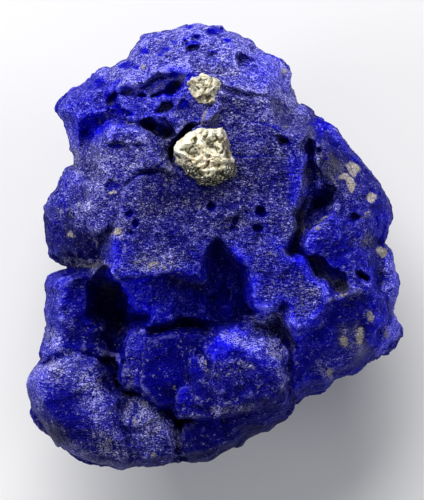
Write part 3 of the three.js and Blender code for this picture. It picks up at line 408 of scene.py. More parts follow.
def valueNoise(x, y, z):  # smooth noise on a lattice, -1 to 1
    i, j, k = np.floor(x), np.floor(y), np.floor(z)
    u, v, w = [t * t * (3 - 2 * t) for t in (x - i, y - j, z - k)]
    total = 0
    for a in (0, 1):
        for b in (0, 1):
            for c in (0, 1):
                weight = (u if a else 1 - u) * (v if b else 1 - v) * (w if c else 1 - w)
                total = total + latticeValue(i + a, j + b, k + c) * weight
    return total * 2 - 1


def fractal(x, y, z, size, octaves):
    total, gain, f = 0, 1, 1 / size
    for o in range(octaves):
        total = total + gain * valueNoise(x * f + 17 * o, y * f - 5 * o, z * f + 9 * o)
        gain, f = gain * 0.5, f * 2.03
    return total


def brokenPlanes(x, y, z, size, sharp=14):  # small tilted planes meeting in edges, as on a fresh break
    x, y, z = x / size, y / size, z / size
    i, j, k = np.floor(x), np.floor(y), np.floor(z)
    total, weights = 0, 1e-12
    for a in (-1, 0, 1):
        for b in (-1, 0, 1):
            for c in (-1, 0, 1):
                ci, cj, ck = i + a, j + b, k + c
                rx, ry = latticeValue(ci, cj, ck), latticeValue(cj, ck, ci + 7)
                rz = latticeValue(ck + 3, ci, cj)
                dx, dy, dz = x - ci - rx, y - cj - ry, z - ck - rz
                weight = np.exp(-sharp * (dx * dx + dy * dy + dz * dz))
                tilt = (ry - 0.5) * dx + (rz - 0.5) * dy + (rx - 0.5) * dz
                total = total + weight * (1.6 * tilt + 0.7 * (latticeValue(ci + 5, cj, ck) - 0.5))
                weights = weights + weight
    return total / weights


def blockTop(x, y, at, slope, round, wall, edge, dome=0):  # top of a block, falling off past its edge
    d = edgeDistance(x, y, edge)
    k = np.clip(round - d, 0, round)
    drop = round - np.sqrt(np.maximum(round * round - k * k, 0)) + np.maximum(-d, 0) * wall
    dx, dy = x - at[0], y - at[1]
    return at[2] + slope[0] * dx + slope[1] * dy - dome * (dx * dx + dy * dy) - drop


def hollowFloor(x, y, at, slope, width, rise, edge):  # floor of a hollow, rising to its walls
    d = edgeDistance(x, y, edge)
    level = at[2] + slope[0] * (x - at[0]) + slope[1] * (y - at[1])
    z = level + rise * np.clip(1 - d / width, 0, None) ** 1.5
    return np.where(d < -0.3, 99, z)  # no floor outside the outline


def ovalReach(x, y, px, py, halfLength, halfWidth, turn):  # 0 in an oval's middle, 1 on its edge
    c, s = math.cos(math.radians(turn)), math.sin(math.radians(turn))
    along, across = (x - px) * c + (y - py) * s, (y - py) * c - (x - px) * s
    return np.hypot(along / halfLength, across / halfWidth)


def shoulder(x, y, width):  # 0 at the girth, 1 where the stone has its full thickness
    inward = softMin(edgeDistance(x, y, rim), edgeDistance(x, y, flankRim) + stone["flankInset"], 0.5)
    w = np.clip(inward * (1 + 0.25 * fractal(x, y, 6.6, 5, 2)) / width, 0, 1)
    return np.sqrt(1 - (1 - w) ** 2)


def girth(x, y):
    return stone["girthHeight"] + stone["girthSway"] * fractal(x, y, 9.9, 9, 2)


def backHeight(x, y):
    g = girth(x, y)
    z = g - stone["backDepth"] * shoulder(x, y, stone["backShoulder"])
    for at, slope in backPlanes:
        z = softMax(z, at[2] + slope[0] * (x - at[0]) + slope[1] * (y - at[1]), 0.8)
    return np.minimum(z + 0.5 * fractal(x, y, 12.4, 4.2, 3), g - stone["thinnest"] / 2)


def wander(x, y):  # sideways wander of the cracks and edges
    reach = stone["wander"]
    return x + reach * fractal(x, y, 3.3, 2.6, 4), y + reach * fractal(x, y, 8.1, 2.6, 4)


def brokenFace(x, y):  # the face before it is rounded off towards the girth
    wx, wy = wander(x, y)
    z = np.full(x.shape, stone["bedrock"])
    for block in blocks.values():
        z = softMax(z, blockTop(wx, wy, **block), stone["blockBlend"])
    for hollow in hollows.values():
        z = softMin(z, hollowFloor(wx, wy, **hollow), stone["hollowBlend"])
    return z + 0.3 * fractal(x, y, 1.7, 3.4, 2) + 0.14 * fractal(x, y, 5.2, 1.1, 2)


def pitDepth(x, y):
    wx, wy = wander(x, y)
    px, py = 0.65 * x + 0.35 * wx, 0.65 * y + 0.35 * wy
    z = 0
    for *oval, depth in pits:
        z = z + (depth + 0.12) * np.clip((1.2 - ovalReach(px, py, *oval)) / 0.4, 0, 1)
    return z


def faceHeight(x, y):
    g = girth(x, y)
    highest = g + (stone["crownHeight"] - g) * shoulder(x, y, stone["faceShoulder"])
    z = softMin(brokenFace(x, y), highest, 0.8)
    return np.maximum(z - pitDepth(x, y), backHeight(x, y) + stone["thinnest"])


def blockLooks(x, y):  # look of the block on top, share of pits, and how deep the surface lies below
    wx, wy = wander(x, y)
    top = np.full(x.shape, stone["bedrock"])
    look = np.tile(looks["bedrock"], (len(x), 1))
    for name, block in blocks.items():
        z = blockTop(wx, wy, **block)
        look += smoothStep(z - top, -0.1, 0.2)[:, None] * (looks[name] - look)
        top = np.maximum(top, z)
    pitted = smoothStep(pitDepth(x, y), 0.1, 0.35)
    return (*look.T, pitted, smoothStep(top - brokenFace(x, y), 1, 5))


def readPoints(mesh):
    flat = np.empty(len(mesh.vertices) * 3, np.float32)
    mesh.vertices.foreach_get("co", flat)
    return flat.reshape(-1, 3).astype(float)


def readNormals(mesh):
    flat = np.empty(len(mesh.vertices) * 3, np.float32)
    mesh.vertex_normals.foreach_get("vector", flat)
    return flat.reshape(-1, 3).astype(float)


def writePoints(mesh, points):
    mesh.vertices.foreach_set("co", points.astype(np.float32).ravel())
    mesh.update()


# A closed skin over an outline: the upper part of a sphere follows one height, the rest the other.
def skin(name, subdivisions, outline, centre, share, top, bottom):
    bm = bmesh.new()
    bmesh.ops.create_icosphere(bm, subdivisions=subdivisions, radius=1)
    mesh = bpy.data.meshes.new(name)
    bm.to_mesh(mesh)
    bm.free()
    p = readPoints(mesh)
    p /= np.linalg.norm(p, axis=1)[:, None]
    angle = np.arctan2(p[:, 1], p[:, 0])
    above = p[:, 2] + share  # the parting lies below the sphere's middle, so the face gets more points
    level = np.where(above > 0, above / (1 + share), above / (1 - share))
    reach = edgeRadius(angle, outline, *centre) * np.sqrt(1 - np.abs(level))
    x, y = centre[0] + reach * np.cos(angle), centre[1] + reach * np.sin(angle)
    z = np.where(level > 0, top(x, y), bottom(x, y))
    writePoints(mesh, np.stack([x, y, z], 1))
    return mesh, level


def applyModifiers(piece):
    graph = bpy.context.evaluated_depsgraph_get()
    made = bpy.data.meshes.new_from_object(piece.evaluated_get(graph))
    piece.modifiers.clear()
    piece.data = made
    return made


def finishPiece(piece, node, material):
    mesh = piece.data
    writePoints(mesh, readPoints(mesh) * mm)
    mesh.polygons.foreach_set("use_smooth", np.ones(len(mesh.polygons), bool))
    mesh.materials.append(material)
    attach(piece, "root")
    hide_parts(node)


def addMask(mesh, name, values):
    made = mesh.attributes.new(name, "FLOAT", "POINT")
    made.data.foreach_set("value", np.clip(values, 0, 1).astype(np.float32))


class Sock:  # a shader socket that takes part in sums
    def __init__(self, shader, socket):
        self.shader, self.socket = shader, socket

    def maths(self, operation, a, b=None):
        inputs = [a] if b is None else [a, b]
        return self.shader.node("ShaderNodeMath", dict(operation=operation), *inputs)[0]

    def __add__(self, other):
        return self.maths("ADD", self, other)

    def __mul__(self, other):
        return self.maths("MULTIPLY", self, other)

    def __sub__(self, other):
        return self.maths("SUBTRACT", self, other)

    def __rsub__(self, other):
        return self.maths("SUBTRACT", other, self)

    def __truediv__(self, other):
        return self.maths("DIVIDE", self, other)

    def __pow__(self, other):
        return self.maths("POWER", self, other)

    def __rpow__(self, other):
        return self.maths("POWER", other, self)

    __radd__, __rmul__ = __add__, __mul__

    def clamp(self):
        return self.shader.node("ShaderNodeClamp", {}, self)[0]

    def lines(self, sharp):  # thin lines where a noise crosses its middle
        return (1 - self.maths("ABSOLUTE", self - 0.5) * sharp).clamp()

    def between(self, low, high):  # 0 at low, 1 at high, smooth
        smooth = dict(interpolation_type="SMOOTHSTEP")
        return self.shader.node("ShaderNodeMapRange", smooth, self, low, high, 0, 1)[0]


class Shader:
    def __init__(self, name):
        self.material = bpy.data.materials.new(name)
        self.material.use_nodes = True
        self.tree = self.material.node_tree
        self.tree.nodes.clear()

    def node(self, kind, settings, *inputs):  # inputs in order, or by name or number in a dictionary
        made = self.tree.nodes.new(kind)
        for key, value in settings.items():
            setattr(made, key, value)
        byName = len(inputs) == 1 and isinstance(inputs[0], dict)
        given = inputs[0] if byName else dict(enumerate(inputs))
        for key, value in given.items():
            if isinstance(value, Sock):
                self.tree.links.new(value.socket, made.inputs[key])
            else:
                made.inputs[key].default_value = value
        return [Sock(self, output) for output in made.outputs]

    def place(self):  # object coordinates in mm
        position = self.node("ShaderNodeTexCoord", {})[3]
        return self.node("ShaderNodeVectorMath", dict(operation="SCALE"), {0: position, "Scale": 1 / mm})[0]

    def noise(self, where, size, detail=3, rough=0.5, warp=0):
        return self.node("ShaderNodeTexNoise", {}, {
            "Vector": where, "Scale": 1 / size, "Detail": detail, "Roughness": rough,
            "Distortion": warp})[0]

    def cells(self, where, size, output):
        made = self.node("ShaderNodeTexVoronoi", {}, {"Vector": where, "Scale": 1 / size})
        return [s for s in made if s.socket.name == output][0]

    def mask(self, name):
        return self.node("ShaderNodeAttribute", dict(attribute_name=name))[2]

    def mix(self, factor, a, b, blend="MIX"):  # a colour is a socket or three numbers
        a, b = [v if isinstance(v, Sock) else (*v, 1) for v in (a, b)]
        settings = dict(data_type="RGBA", blend_type=blend, clamp_factor=True)
        return self.node("ShaderNodeMix", settings, {0: factor, 6: a, 7: b})[2]

    def bump(self, height, distance):
        inputs = {"Height": height, "Distance": distance * mm, "Strength": 1}
        return self.node("ShaderNodeBump", {}, inputs)[0]

    def surface(self, **inputs):
        body = self.node("ShaderNodeBsdfPrincipled", {}, inputs)[0]
        self.node("ShaderNodeOutputMaterial", {}, body)
        return self.material


# Colours are linear.
lapisLook = dict(
    black=(0.0003, 0.0002, 0.01), pure=(0.0015, 0, 1), white=(1, 0.98, 1.12),
    calcite=(0.56, 0.52, 0.52), stain=(0.28, 0.24, 0.22), glass=(0.13, 0.125, 0.125),
    cloudMm=2.2, mottleMm=0.7, rippleMm=0.5, threadMm=0.34, scaleMm=0.16, fineMm=0.1,
    fleckMm=0.24, curlMm=1.1, pitMm=0.62,
    streakTurn=12, streakStretch=0.48,   # ripples, threads, scales and fine pits run along X
    dustLevel=-2.78,                     # in doublings of each block's own white
    # the white of flecks and of sharp ridges is partly painted glint and edge highlight
    crustWhite=0.35, curlWhite=0.5, fleckAndGlintWhite=0.2, wearAndHighlightWhite=0.28,
    backTone=0.13, backFrost=0.012,      # the look of the back, as a block's first two numbers
    pitTone=0.42,                        # how blue the pits' walls are
    ridgeMm=0.22, swellMm=1.6,           # how far a full ridge or swell stands out
    whiteLimit=1.2,                      # keeps heaped dust from burning out
    bumpMm=0.3,
)

# Where the surface is crusted with white: middle, half length, half width, turn, strength.
frosted = [
    (-8, 6.3, 1.1, 0.7, 20, 0.4), (-9, 4.4, 1, 0.8, 0, 0.4), (-9.9, 2.7, 1, 0.5, 30, 0.6),
    (-6, 5.9, 0.8, 0.3, 20, 0.4), (-11.5, 2.2, 0.6, 0.5, 40, 0.6), (-9.6, -1.3, 2.2, 0.3, -4, 0.9),
    (-7.1, 0.9, 0.5, 0.5, 0, 0.9), (-3.6, -1.5, 1.2, 0.4, 10, 0.8), (-5.4, -1, 1.2, 0.4, 10, 0.5),
    (-11.9, -6.8, 0.9, 0.4, -50, 0.9), (-11.2, -7.9, 1.2, 0.3, -25, 0.9), (-10.9, -5.6, 0.4, 1, 20, 0.4),
    (-13.2, -12, 0.3, 0.7, -30, 0.7), (-11.6, -8.8, 1.2, 0.3, 12, 0.6), (-9.4, -10.2, 0.9, 0.8, 0, 0.8),
    (-8.9, -12, 0.8, 1.2, 15, 0.7), (-8, -14.2, 1, 0.7, -20, 0.6), (-10, -15.4, 1.2, 0.4, -25, 0.4),
    (-5.8, -6.5, 0.8, 0.3, 0, 0.4), (-6.4, -12.4, 0.3, 0.9, -20, 1), (-5.4, -11.8, 0.7, 0.25, -30, 0.9),
    (-4.8, -13.5, 0.9, 1.2, 10, 1), (-7.6, -15.2, 1.2, 0.6, -10, 0.9), (-4.6, -15.5, 0.5, 0.3, 0, 0.9),
    (-2.9, -14.4, 0.4, 0.8, 20, 0.9), (1.5, -7, 0.9, 0.45, -25, 1), (2.6, -7.6, 0.9, 0.35, -30, 0.7),
    (4.7, -7.9, 0.7, 0.6, -20, 0.9), (2.4, -8.9, 0.6, 0.2, -20, 0.8), (5.2, -10, 0.5, 1, 0, 0.5),
    (0.8, -9.6, 1.2, 1.2, 0, 0.25), (-0.9, -8.6, 0.3, 0.6, 20, 0.9), (1.9, -12.2, 1.1, 0.28, 4, 1),
    (0.3, -12.4, 0.5, 0.5, 0, 0.9), (-1.4, -12.7, 0.8, 0.2, 0, 0.8), (-5.35, -8.8, 0.15, 1.8, 0, 0.5),
    (7.8, 1.5, 0.8, 0.35, 0, 0.8), (9.5, 3.8, 1.2, 1, 0, 0.3), (11.3, 0.3, 0.9, 0.5, 0, 0.5),
    (12.9, -6.6, 0.6, 0.8, 0, 0.6), (8.4, -9.4, 1.2, 0.6, -30, 0.8), (10.8, -6.6, 0.35, 1.2, 10, 0.8),
    (9.8, -7, 0.3, 1, 0, 0.7), (11.6, -5.2, 0.4, 0.4, 0, 0.8), (5.6, -5.2, 0.2, 0.9, 10, 0.8),
    (5.9, -7.3, 0.2, 0.7, 10, 0.8), (9.3, -3.8, 0.7, 0.25, 20, 0.9), (3.6, -5.6, 1.2, 0.8, 30, 0.7),
    (4.6, -6.6, 0.9, 0.6, 0, 0.6), (3.9, -0.6, 0.5, 0.25, 0, 0.8), (-1.5, 14.6, 2, 1, 0, 0.2),
    (7.9, 6.9, 0.3, 0.8, -20, 0.7), (-0.4, 13.6, 1.6, 0.5, 0, 0.3),
]

# Where the blue is brighter or darker than its block, as a share of it: partly the stone's own tone, partly
# painted light and shade, brighter on faces turned up to the light and darker in the shade around the large
# pyrite grain.
toneLightAndShade = [
    (0.4, -7.8, 1, 0.8, 20, 1.4), (2.2, -7.1, 1.8, 0.7, -15, 1.2), (3.4, -8.2, 1.6, 0.5, -25, 0.8),
    (-1.2, -9, 0.5, 0.8, 0, 1.4), (-2.2, -11.2, 0.5, 1, 15, 1), (-11.6, -4.2, 1.3, 2.6, 0, 0.45),
    (-11.6, -7.8, 1.6, 0.9, 0, 0.5), (-12.9, -10.2, 1, 1, 0, 0.5), (-12, -12.2, 1.2, 1.4, 0, -0.1),
    (-7.8, -1.6, 0.5, 1.2, 10, 0.5), (-6.6, -0.6, 0.8, 1.3, 0, 0.9), (0.2, -14, 1.8, 0.8, 0, 0.9),
    (7.4, 0.3, 0.7, 1, 0, 1), (12.8, 1.6, 0.8, 1.1, 0, 1.2), (6.4, -10.1, 0.7, 0.7, 0, 0.5),
    (11.8, -3.2, 0.5, 1.6, 0, 1), (-9.3, 8.7, 1.4, 1.2, 0, 0.9), (-2.3, 12.8, 1.2, 0.35, -12, 0.9),
    (-6.4, 8.6, 1.4, 0.4, 0, 0.5), (-6.4, 7.4, 1.6, 0.3, 0, -0.4), (7, -6.4, 1.6, 2.6, 0, 0.4),
    (7.8, 8.8, 0.8, 0.7, 40, 0.8), (-8, -4.8, 1.1, 3, 0, -0.75), (-6.9, -5.6, 0.4, 2, 0, -0.5),
    (-6.4, -10.2, 0.5, 1.6, 0, -0.6), (2.6, -11, 2.6, 1.2, 0, -0.2), (8.7, 5.6, 1.1, 1.6, 10, -0.65),
    (7, 5.8, 0.4, 2.2, 0, 0.8), (-9.8, 0.2, 2.4, 1.2, 0, -0.2), (10.4, -7, 1.2, 2, 0, -0.3),
    (7.4, 4.2, 1, 2.4, 0, 0.7), (7.8, -1.6, 1.6, 0.8, -30, 0.7), (-3.6, 0.4, 2.4, 1.6, 0, 0.15),
    (-8, -9.6, 0.9, 1.2, 0, -0.5), (-4.4, -13.6, 1.6, 1.6, 0, 0.5), (-9, -15, 3, 1.2, -20, -0.5),
    (12.6, -6.6, 0.9, 1.2, 0, 0.8), (8, -10, 1.6, 0.7, -30, -0.1), (-12.2, -14, 1.4, 1, -40, -0.5),
    (5.95, 5, 0.4, 1.9, 0, 1.2), (1.2, -3.2, 1.8, 2.4, 0, 1.2), (-2.2, -2.8, 1.6, 0.5, -10, -0.5),
    (-3.4, -4.9, 1.6, 0.7, 0, 0.5), (4.2, -5.8, 1.4, 1, 0, 0.6), (-1, 3.6, 2.2, 0.7, 14, -0.5),
    (-4.2, 3, 1.8, 0.6, 20, -0.45), (-3.4, 6.4, 0.5, 2, 0, -0.6), (1.9, 5.6, 0.5, 1.2, 0, -0.4),
    (-1.6, 10.2, 1.6, 0.8, 20, -0.5), (0.2, 12.9, 1.6, 0.6, 0, -0.4), (4.6, -1.4, 1.8, 1.6, -40, 0.5),
    (3, 0.6, 1.6, 0.9, 30, 0.4), (3.6, 8.6, 2, 1, 35, 0.35), (8.8, -2.4, 1.6, 0.9, -40, 0.5),
    (4.2, 13, 1.6, 1.4, -30, 0.5), (-9, -11.4, 1.4, 2, 0, 0.3), (11, -0.9, 1.4, 1.2, 0, 0.4),
    (9.5, 1.2, 1.4, 1.2, 0, 0.5), (-10.6, 4.8, 1.2, 0.6, 30, 0.5), (-12, 0.6, 0.6, 1.6, 0, 0.8),
    (-2.9, -9.6, 0.9, 2.2, 0, 0.3), (9.4, 8, 2.2, 0.3, -52, 0.8),
]

# Where the surface is dustier or cleaner than its block, as a share of its white, which on the crown is
# partly painted sheen.
dusted = [
    (2.2, 10.3, 3, 1.6, -15, 1), (3.4, 7.5, 1.8, 2, 0, 0.8), (-2, 4, 2.4, 0.8, 18, -0.5),
    (-8.6, 5.6, 1.4, 1.2, 20, 0.8), (-9.2, 3.2, 1, 0.8, 0, 1), (-12.2, -6.6, 0.8, 2.5, 0, 3),
    (-12.4, -9.5, 1.8, 0.8, 12, 2.4), (-12.4, -12.4, 1.8, 1.4, -40, -0.7), (-9, -11.6, 1.2, 2, 10, 2),
    (-8, -9.8, 0.8, 1.2, 0, -0.8), (-11.4, -12, 1.2, 2.2, 20, -0.7), (-2.4, -4.6, 2, 1, -10, 2),
    (-4.8, -13.6, 1.2, 1.6, 0, 3), (2.2, -6.9, 1.8, 0.7, -10, 6), (3.8, -8.2, 1.6, 0.8, -30, 5),
    (2.4, -8.8, 1.4, 0.8, 0, -0.5), (-6, -8.2, 0.6, 1.6, 0, 1.2), (7.2, -6.2, 1.6, 2.6, 0, 0.5),
    (10.4, -6.6, 0.9, 1.6, 0, 4), (9.2, -8.2, 1.2, 0.8, -30, 2.5), (-4.4, -1.2, 2.4, 0.8, 8, 2.5),
    (13, -4, 0.7, 3, 0, 0.5), (8.7, 5.2, 1.1, 1.6, 0, -0.3), (12.4, 3, 0.8, 1.8, 20, -0.8),
    (6, 5, 0.4, 1.8, 0, -0.6), (-6.6, -0.4, 0.8, 1, 0, -0.7), (-9.2, 8.8, 1.2, 1, 0, -0.8),
    (-10.6, 7.6, 0.4, 1.8, 5, 2), (-2.3, 12.8, 1.2, 0.35, -12, -0.9), (0.6, -7.9, 0.9, 0.8, 0, -0.8),
    (-4.2, -9.6, 0.8, 2, 0, -0.7), (-11.9, -7.2, 0.9, 0.4, -50, 3), (7.1, -3.1, 0.8, 0.35, -30, 2.5),
    (5, -2.6, 1.8, 1.2, -30, -0.4), (-9, -14.6, 3, 1.2, -20, -0.7), (-9.3, -5.2, 0.8, 2.6, 0, -0.8),
    (-3.6, 0.4, 1.8, 1.4, 0, -0.35), (0, 1.4, 2.6, 0.8, 10, 0.3), (9.4, -0.6, 1.2, 1.4, 0, -0.6),
    (4.4, -5.8, 1, 1.2, 0, 3), (6, 11.4, 1, 1.6, 20, 0.8), (1.2, 14, 2.4, 1, 0, 0.3),
]

# Grains and patches of calcite: middle, half length, half width, turn, strength.
calcite = [
    (10.45, 5.75, 0.7, 0.5, -20, 1), (9.75, 5.2, 0.5, 0.26, 25, 1), (10.2, 4.7, 0.28, 0.6, 15, 1),
    (11.75, 3.6, 0.4, 0.36, 0, 1), (11.4, 2.4, 0.36, 0.14, 30, 0.9), (12.6, -0.5, 0.5, 0.26, -40, 1),
    (11.2, 0.3, 0.6, 0.12, 0, 0.5), (10.95, -6.6, 0.32, 0.8, -12, 1), (11.75, -5.2, 0.3, 0.5, 0, 0.8),
    (9.9, -7.25, 0.36, 0.5, 20, 0.9), (13, -6.7, 0.22, 0.4, 20, 0.7), (8.7, -9.5, 0.22, 0.32, 0, 0.9),
    (-7.1, 1.05, 0.36, 0.26, 0, 1), (-7.5, 3.9, 0.34, 0.16, 10, 1), (-10.7, 0.8, 0.34, 0.26, -20, 0.9),
    (-4.4, -1.35, 0.4, 0.13, 25, 1), (-3.5, -1.7, 0.3, 0.1, -40, 0.8), (-5.6, -1.2, 0.3, 0.1, 10, 0.7),
    (-5.2, 13.3, 0.22, 0.22, 0, 0.8), (3.4, 3.4, 0.14, 0.1, 0, 0.9), (2.3, 3.4, 0.08, 0.1, 0, 0.8),
    (3.8, -0.6, 0.16, 0.1, 0, 1), (4.3, -0.6, 0.14, 0.08, 0, 0.9), (-3.2, -1.2, 0.14, 0.1, 0, 0.9),
    (-2.6, -2, 0.16, 0.07, 20, 0.8), (-0.6, -8.7, 0.14, 0.24, 20, 0.9), (-1.75, -8.7, 0.16, 0.1, 20, 0.8),
    (-5.9, -13.2, 0.2, 0.4, 20, 0.6), (-4.5, -13.7, 0.3, 0.3, 0, 0.5), (-4.5, -15.7, 0.3, 0.2, 0, 0.7),
    (-7.8, -14.6, 0.5, 0.16, 30, 0.5), (5.35, 9, 0.06, 0.42, 8, 0.9), (-0.75, 9.5, 0.14, 0.6, -22, 0.7),
    (-0.5, 8.95, 0.3, 0.1, 20, 0.6), (1.5, 5.35, 0.2, 0.34, -35, 0.9), (5.3, 13, 0.3, 0.3, 0, 0.8),
    (-2.9, -10.6, 0.1, 0.3, 20, 0.7), (9.6, -3.75, 0.5, 0.12, 25, 0.9), (8.6, -4, 0.24, 0.1, -20, 0.8),
    (8.1, 1.9, 0.6, 0.13, 35, 0.8), (7.75, 1.3, 0.26, 0.2, 0, 0.7), (8, 7, 0.1, 0.4, -20, 0.5),
]

# Grey glassy lining in the deep places.
glassy = [
    (6.95, 5.2, 0.3, 0.9, 0, 1), (6.4, 2.5, 0.5, 0.5, 0, 0.9), (6.3, 1.3, 0.5, 0.6, 0, 0.8),
    (9.5, -3, 0.7, 0.45, -50, 1), (8.5, -2.3, 0.9, 0.35, -42, 0.6), (10.4, -7.2, 1, 1.4, 20, 0.3),
    (6.8, 3.4, 0.5, 0.3, 0, 0.6), (8.9, 5.6, 0.9, 1, 0, 0.35), (5.4, -0.6, 0.4, 0.3, 0, 0.6),
    (-2.6, 12.2, 0.7, 0.3, 40, 1), (-3.6, 10.2, 0.6, 0.35, 28, 0.7), (-4, 11.7, 0.8, 0.3, 30, 0.6),
    (0.1, 9.3, 0.6, 0.35, 20, 0.5), (-7.9, -3.2, 0.4, 0.8, 20, 0.6), (-7.7, 10.6, 0.3, 0.2, 0, 0.4),
    (-6.5, 11.5, 0.4, 0.25, 0, 0.5), (11.3, 2.2, 0.4, 0.2, 15, 0.7), (7.6, -1, 0.7, 0.2, -25, 0.7),
    (-8.8, -1.5, 1.2, 0.22, -4, 0.7), (7.4, 8.3, 0.3, 0.5, 0, 0.5),
]


def ovalMask(x, y, ovals, fuzz):  # 1 inside the ovals, fading over a wavering edge
    wave = fractal(x, y, 4.4, 0.8, 3)
    total = np.zeros(x.shape)
    for *oval, strength in ovals:
        inside = 1 + fuzz - ovalReach(x, y, *oval) + 0.45 * wave
        total = np.maximum(total, strength * smoothStep(inside, 0, 2 * fuzz))
    return total


def ovalShare(x, y, ovals, seed):  # 1, more where the ovals add a share and less where they take one
    total = 1
    for *oval, change in ovals:
        inside = 1.5 - ovalReach(x, y, *oval) + 0.3 * fractal(x, y, seed, 0.9, 2)
        total = total * (1 + change * smoothStep(inside, 0, 1))
    return total


# How far each point stands out of the surface around it, smoothed over more and more neighbours.
def standOut(mesh, p, n, rounds):
    ends = np.empty(len(mesh.edges) * 2, np.int32)
    mesh.edges.foreach_get("vertices", ends)
    a, b = ends.reshape(-1, 2).T
    count = np.bincount(a, minlength=len(p)) + np.bincount(b, minlength=len(p))
    smooth, found = p.copy(), []
    for turn in range(1, max(rounds) + 1):
        for axis in range(3):
            line = smooth[:, axis]
            smooth[:, axis] = (np.bincount(a, line[b], len(p)) + np.bincount(b, line[a], len(p))) / count
        if turn in rounds:
            found.append(((p - smooth) * n).sum(1))
    return found


def makeStone():
    detail, share = stone["subdivisions"], stone["faceShare"]
    mesh, level = skin("lapis", detail, rim, (0, 0), share, faceHeight, backHeight)
    p = readPoints(mesh)
    away = smoothStep(np.abs(p[:, 2] - girth(p[:, 0], p[:, 1])), 1.5, 6)
    hollowed = away * np.maximum(0, 0.9 + fractal(p[:, 0], p[:, 1], p[:, 2], 5.5, 3))
    p[:, :2] *= (1 - stone["flankWear"] * hollowed * (1 - smoothStep(np.abs(level), 0.2, 0.5)))[:, None]
    p[:, 2] = np.maximum(p[:, 2], 0)
    writePoints(mesh, p)
    piece = bpy.data.objects.new("lapis", mesh)
    bpy.context.scene.collection.objects.link(piece)
    even = piece.modifiers.new("even", "REMESH")
    even.mode, even.voxel_size, even.adaptivity = "VOXEL", stone["voxel"], 0
    mesh = applyModifiers(piece)
    print("stone skin", len(mesh.polygons))

    p, n = readPoints(mesh), readNormals(mesh)
    x, y, z = p.T
    onFace = smoothStep(z - girth(x, y), -1, 1)
    tone, frostAndSheen, gloss, rugged, pitted, deep = blockLooks(x, y)
    rough = 1 + (rugged - 1) * onFace

    def planes(kind, alongX=0, alongY=0):
        height, width = stone[kind]
        return height * brokenPlanes(x + alongX, y + alongY, z, width, stone["sharpness"])

    def bumps(kind, octaves):
        height, width = stone[kind]
        return height * fractal(x, y, z, width, octaves)

    shift = planes("facets") * (0.3 + 0.7 * rough)
    shift += planes("chips", alongX=9) * rough
    shift += planes("splinters", alongY=9) * rough * onFace
    shift += bumps("crumble", 3) * rough * (0.5 + 0.5 * onFace)
    shift += bumps("grain", 1) * rough * onFace
    moved = p + n * shift[:, None]
    resting = p[:, 2] < stone["restBand"]
    moved[resting] = p[resting]
    sunk = (moved[:, 2].min() + stone["restSink"]) * (1 - smoothStep(moved[:, 2], 0, 6))
    moved[:, 2] = np.maximum(moved[:, 2] - sunk, 0)
    writePoints(mesh, moved)
    thinned = piece.vertex_groups.new(name="thinned")
    thinned.add(np.flatnonzero(onFace < 0.5).tolist(), 1, "REPLACE")
    thinned.add(np.flatnonzero(onFace >= 0.5).tolist(), 0.9, "REPLACE")
    thin = piece.modifiers.new("thin", "DECIMATE")
    thin.ratio = min(1, stone["triangles"] / (2 * len(mesh.polygons)))
    thin.vertex_group, thin.vertex_group_factor = "thinned", stone["faceKeep"]
    mesh = applyModifiers(piece)
    p = readPoints(mesh)
    p[:, 2] = np.maximum(p[:, 2], 0)  # the thinning throws points out of the flat
    writePoints(mesh, p)
    print("stone broken", len(mesh.polygons))
    return piece


def markStone(mesh):  # what the material reads: one attribute for each kind of mark
    look = lapisLook
    p, n = readPoints(mesh), readNormals(mesh)
    x, y, z = p.T
    onFace = smoothStep(z - girth(x, y), -1, 1)
    tone, frostAndSheen, gloss, rugged, pitted, deep = blockLooks(x, y)
    # Ridge, groove and swell feed painted light and shade in the material.
    small, large = standOut(mesh, p, n, (6, 90))
    addMask(mesh, "ridge", small / look["ridgeMm"])
    addMask(mesh, "groove", -small / look["ridgeMm"])
    addMask(mesh, "swell", 0.5 + large / look["swellMm"])
    onTop = onFace * smoothStep(n[:, 2], 0.1, 0.35)
    # the blue takes the stone's own tone and the painted light and shade of the oval table
    tone = tone * ovalShare(x, y, toneLightAndShade, 2.7)
    # the pits' walls take their clean blue, painted brighter to stand against the shade inside them
    tone += (look["pitTone"] - tone) * pitted * (0.35 + 0.65 * smoothStep(y, 7, 9))
    frostAndSheen = frostAndSheen * ovalShare(x, y, dusted, 8.2)
    inward = edgeDistance(*wander(x, y), blocks["plateau"]["edge"])
    inward += 0.3 * fractal(x, y, 1.3, 0.9, 2)
    edged = smoothStep(inward, -0.6, -0.2) * (1 - smoothStep(inward, 0.1, 1.1)) * smoothStep(1 - y, 0, 1.5)
    tone, frostAndSheen = tone * (1 + edged), frostAndSheen * (1 - 0.7 * edged)  # clean bright rim of the plateau
    addMask(mesh, "tone", look["backTone"] + (tone - look["backTone"]) * onFace)
    # white dust, and on the crown painted sheen
    addMask(mesh, "frostAndSheen", frostAndSheen * (1 - pitted) * onFace + look["backFrost"] * (1 - onFace))
    addMask(mesh, "crust", ovalMask(x, y, frosted, 0.45) * (1 - pitted) * onTop)
    addMask(mesh, "polish", gloss * onFace)
    # how far below the block tops a point lies; the material paints these hollows brighter blue as fill
    # light
    addMask(mesh, "deep", deep * onFace)
    addMask(mesh, "calcite", ovalMask(x, y, calcite, 0.15) * onTop)
    addMask(mesh, "pitted", (0.25 + smoothStep(y, 9.5, 12.5)) * onFace)
    addMask(mesh, "glassy", ovalMask(x, y, glassy, 0.4) * onFace)


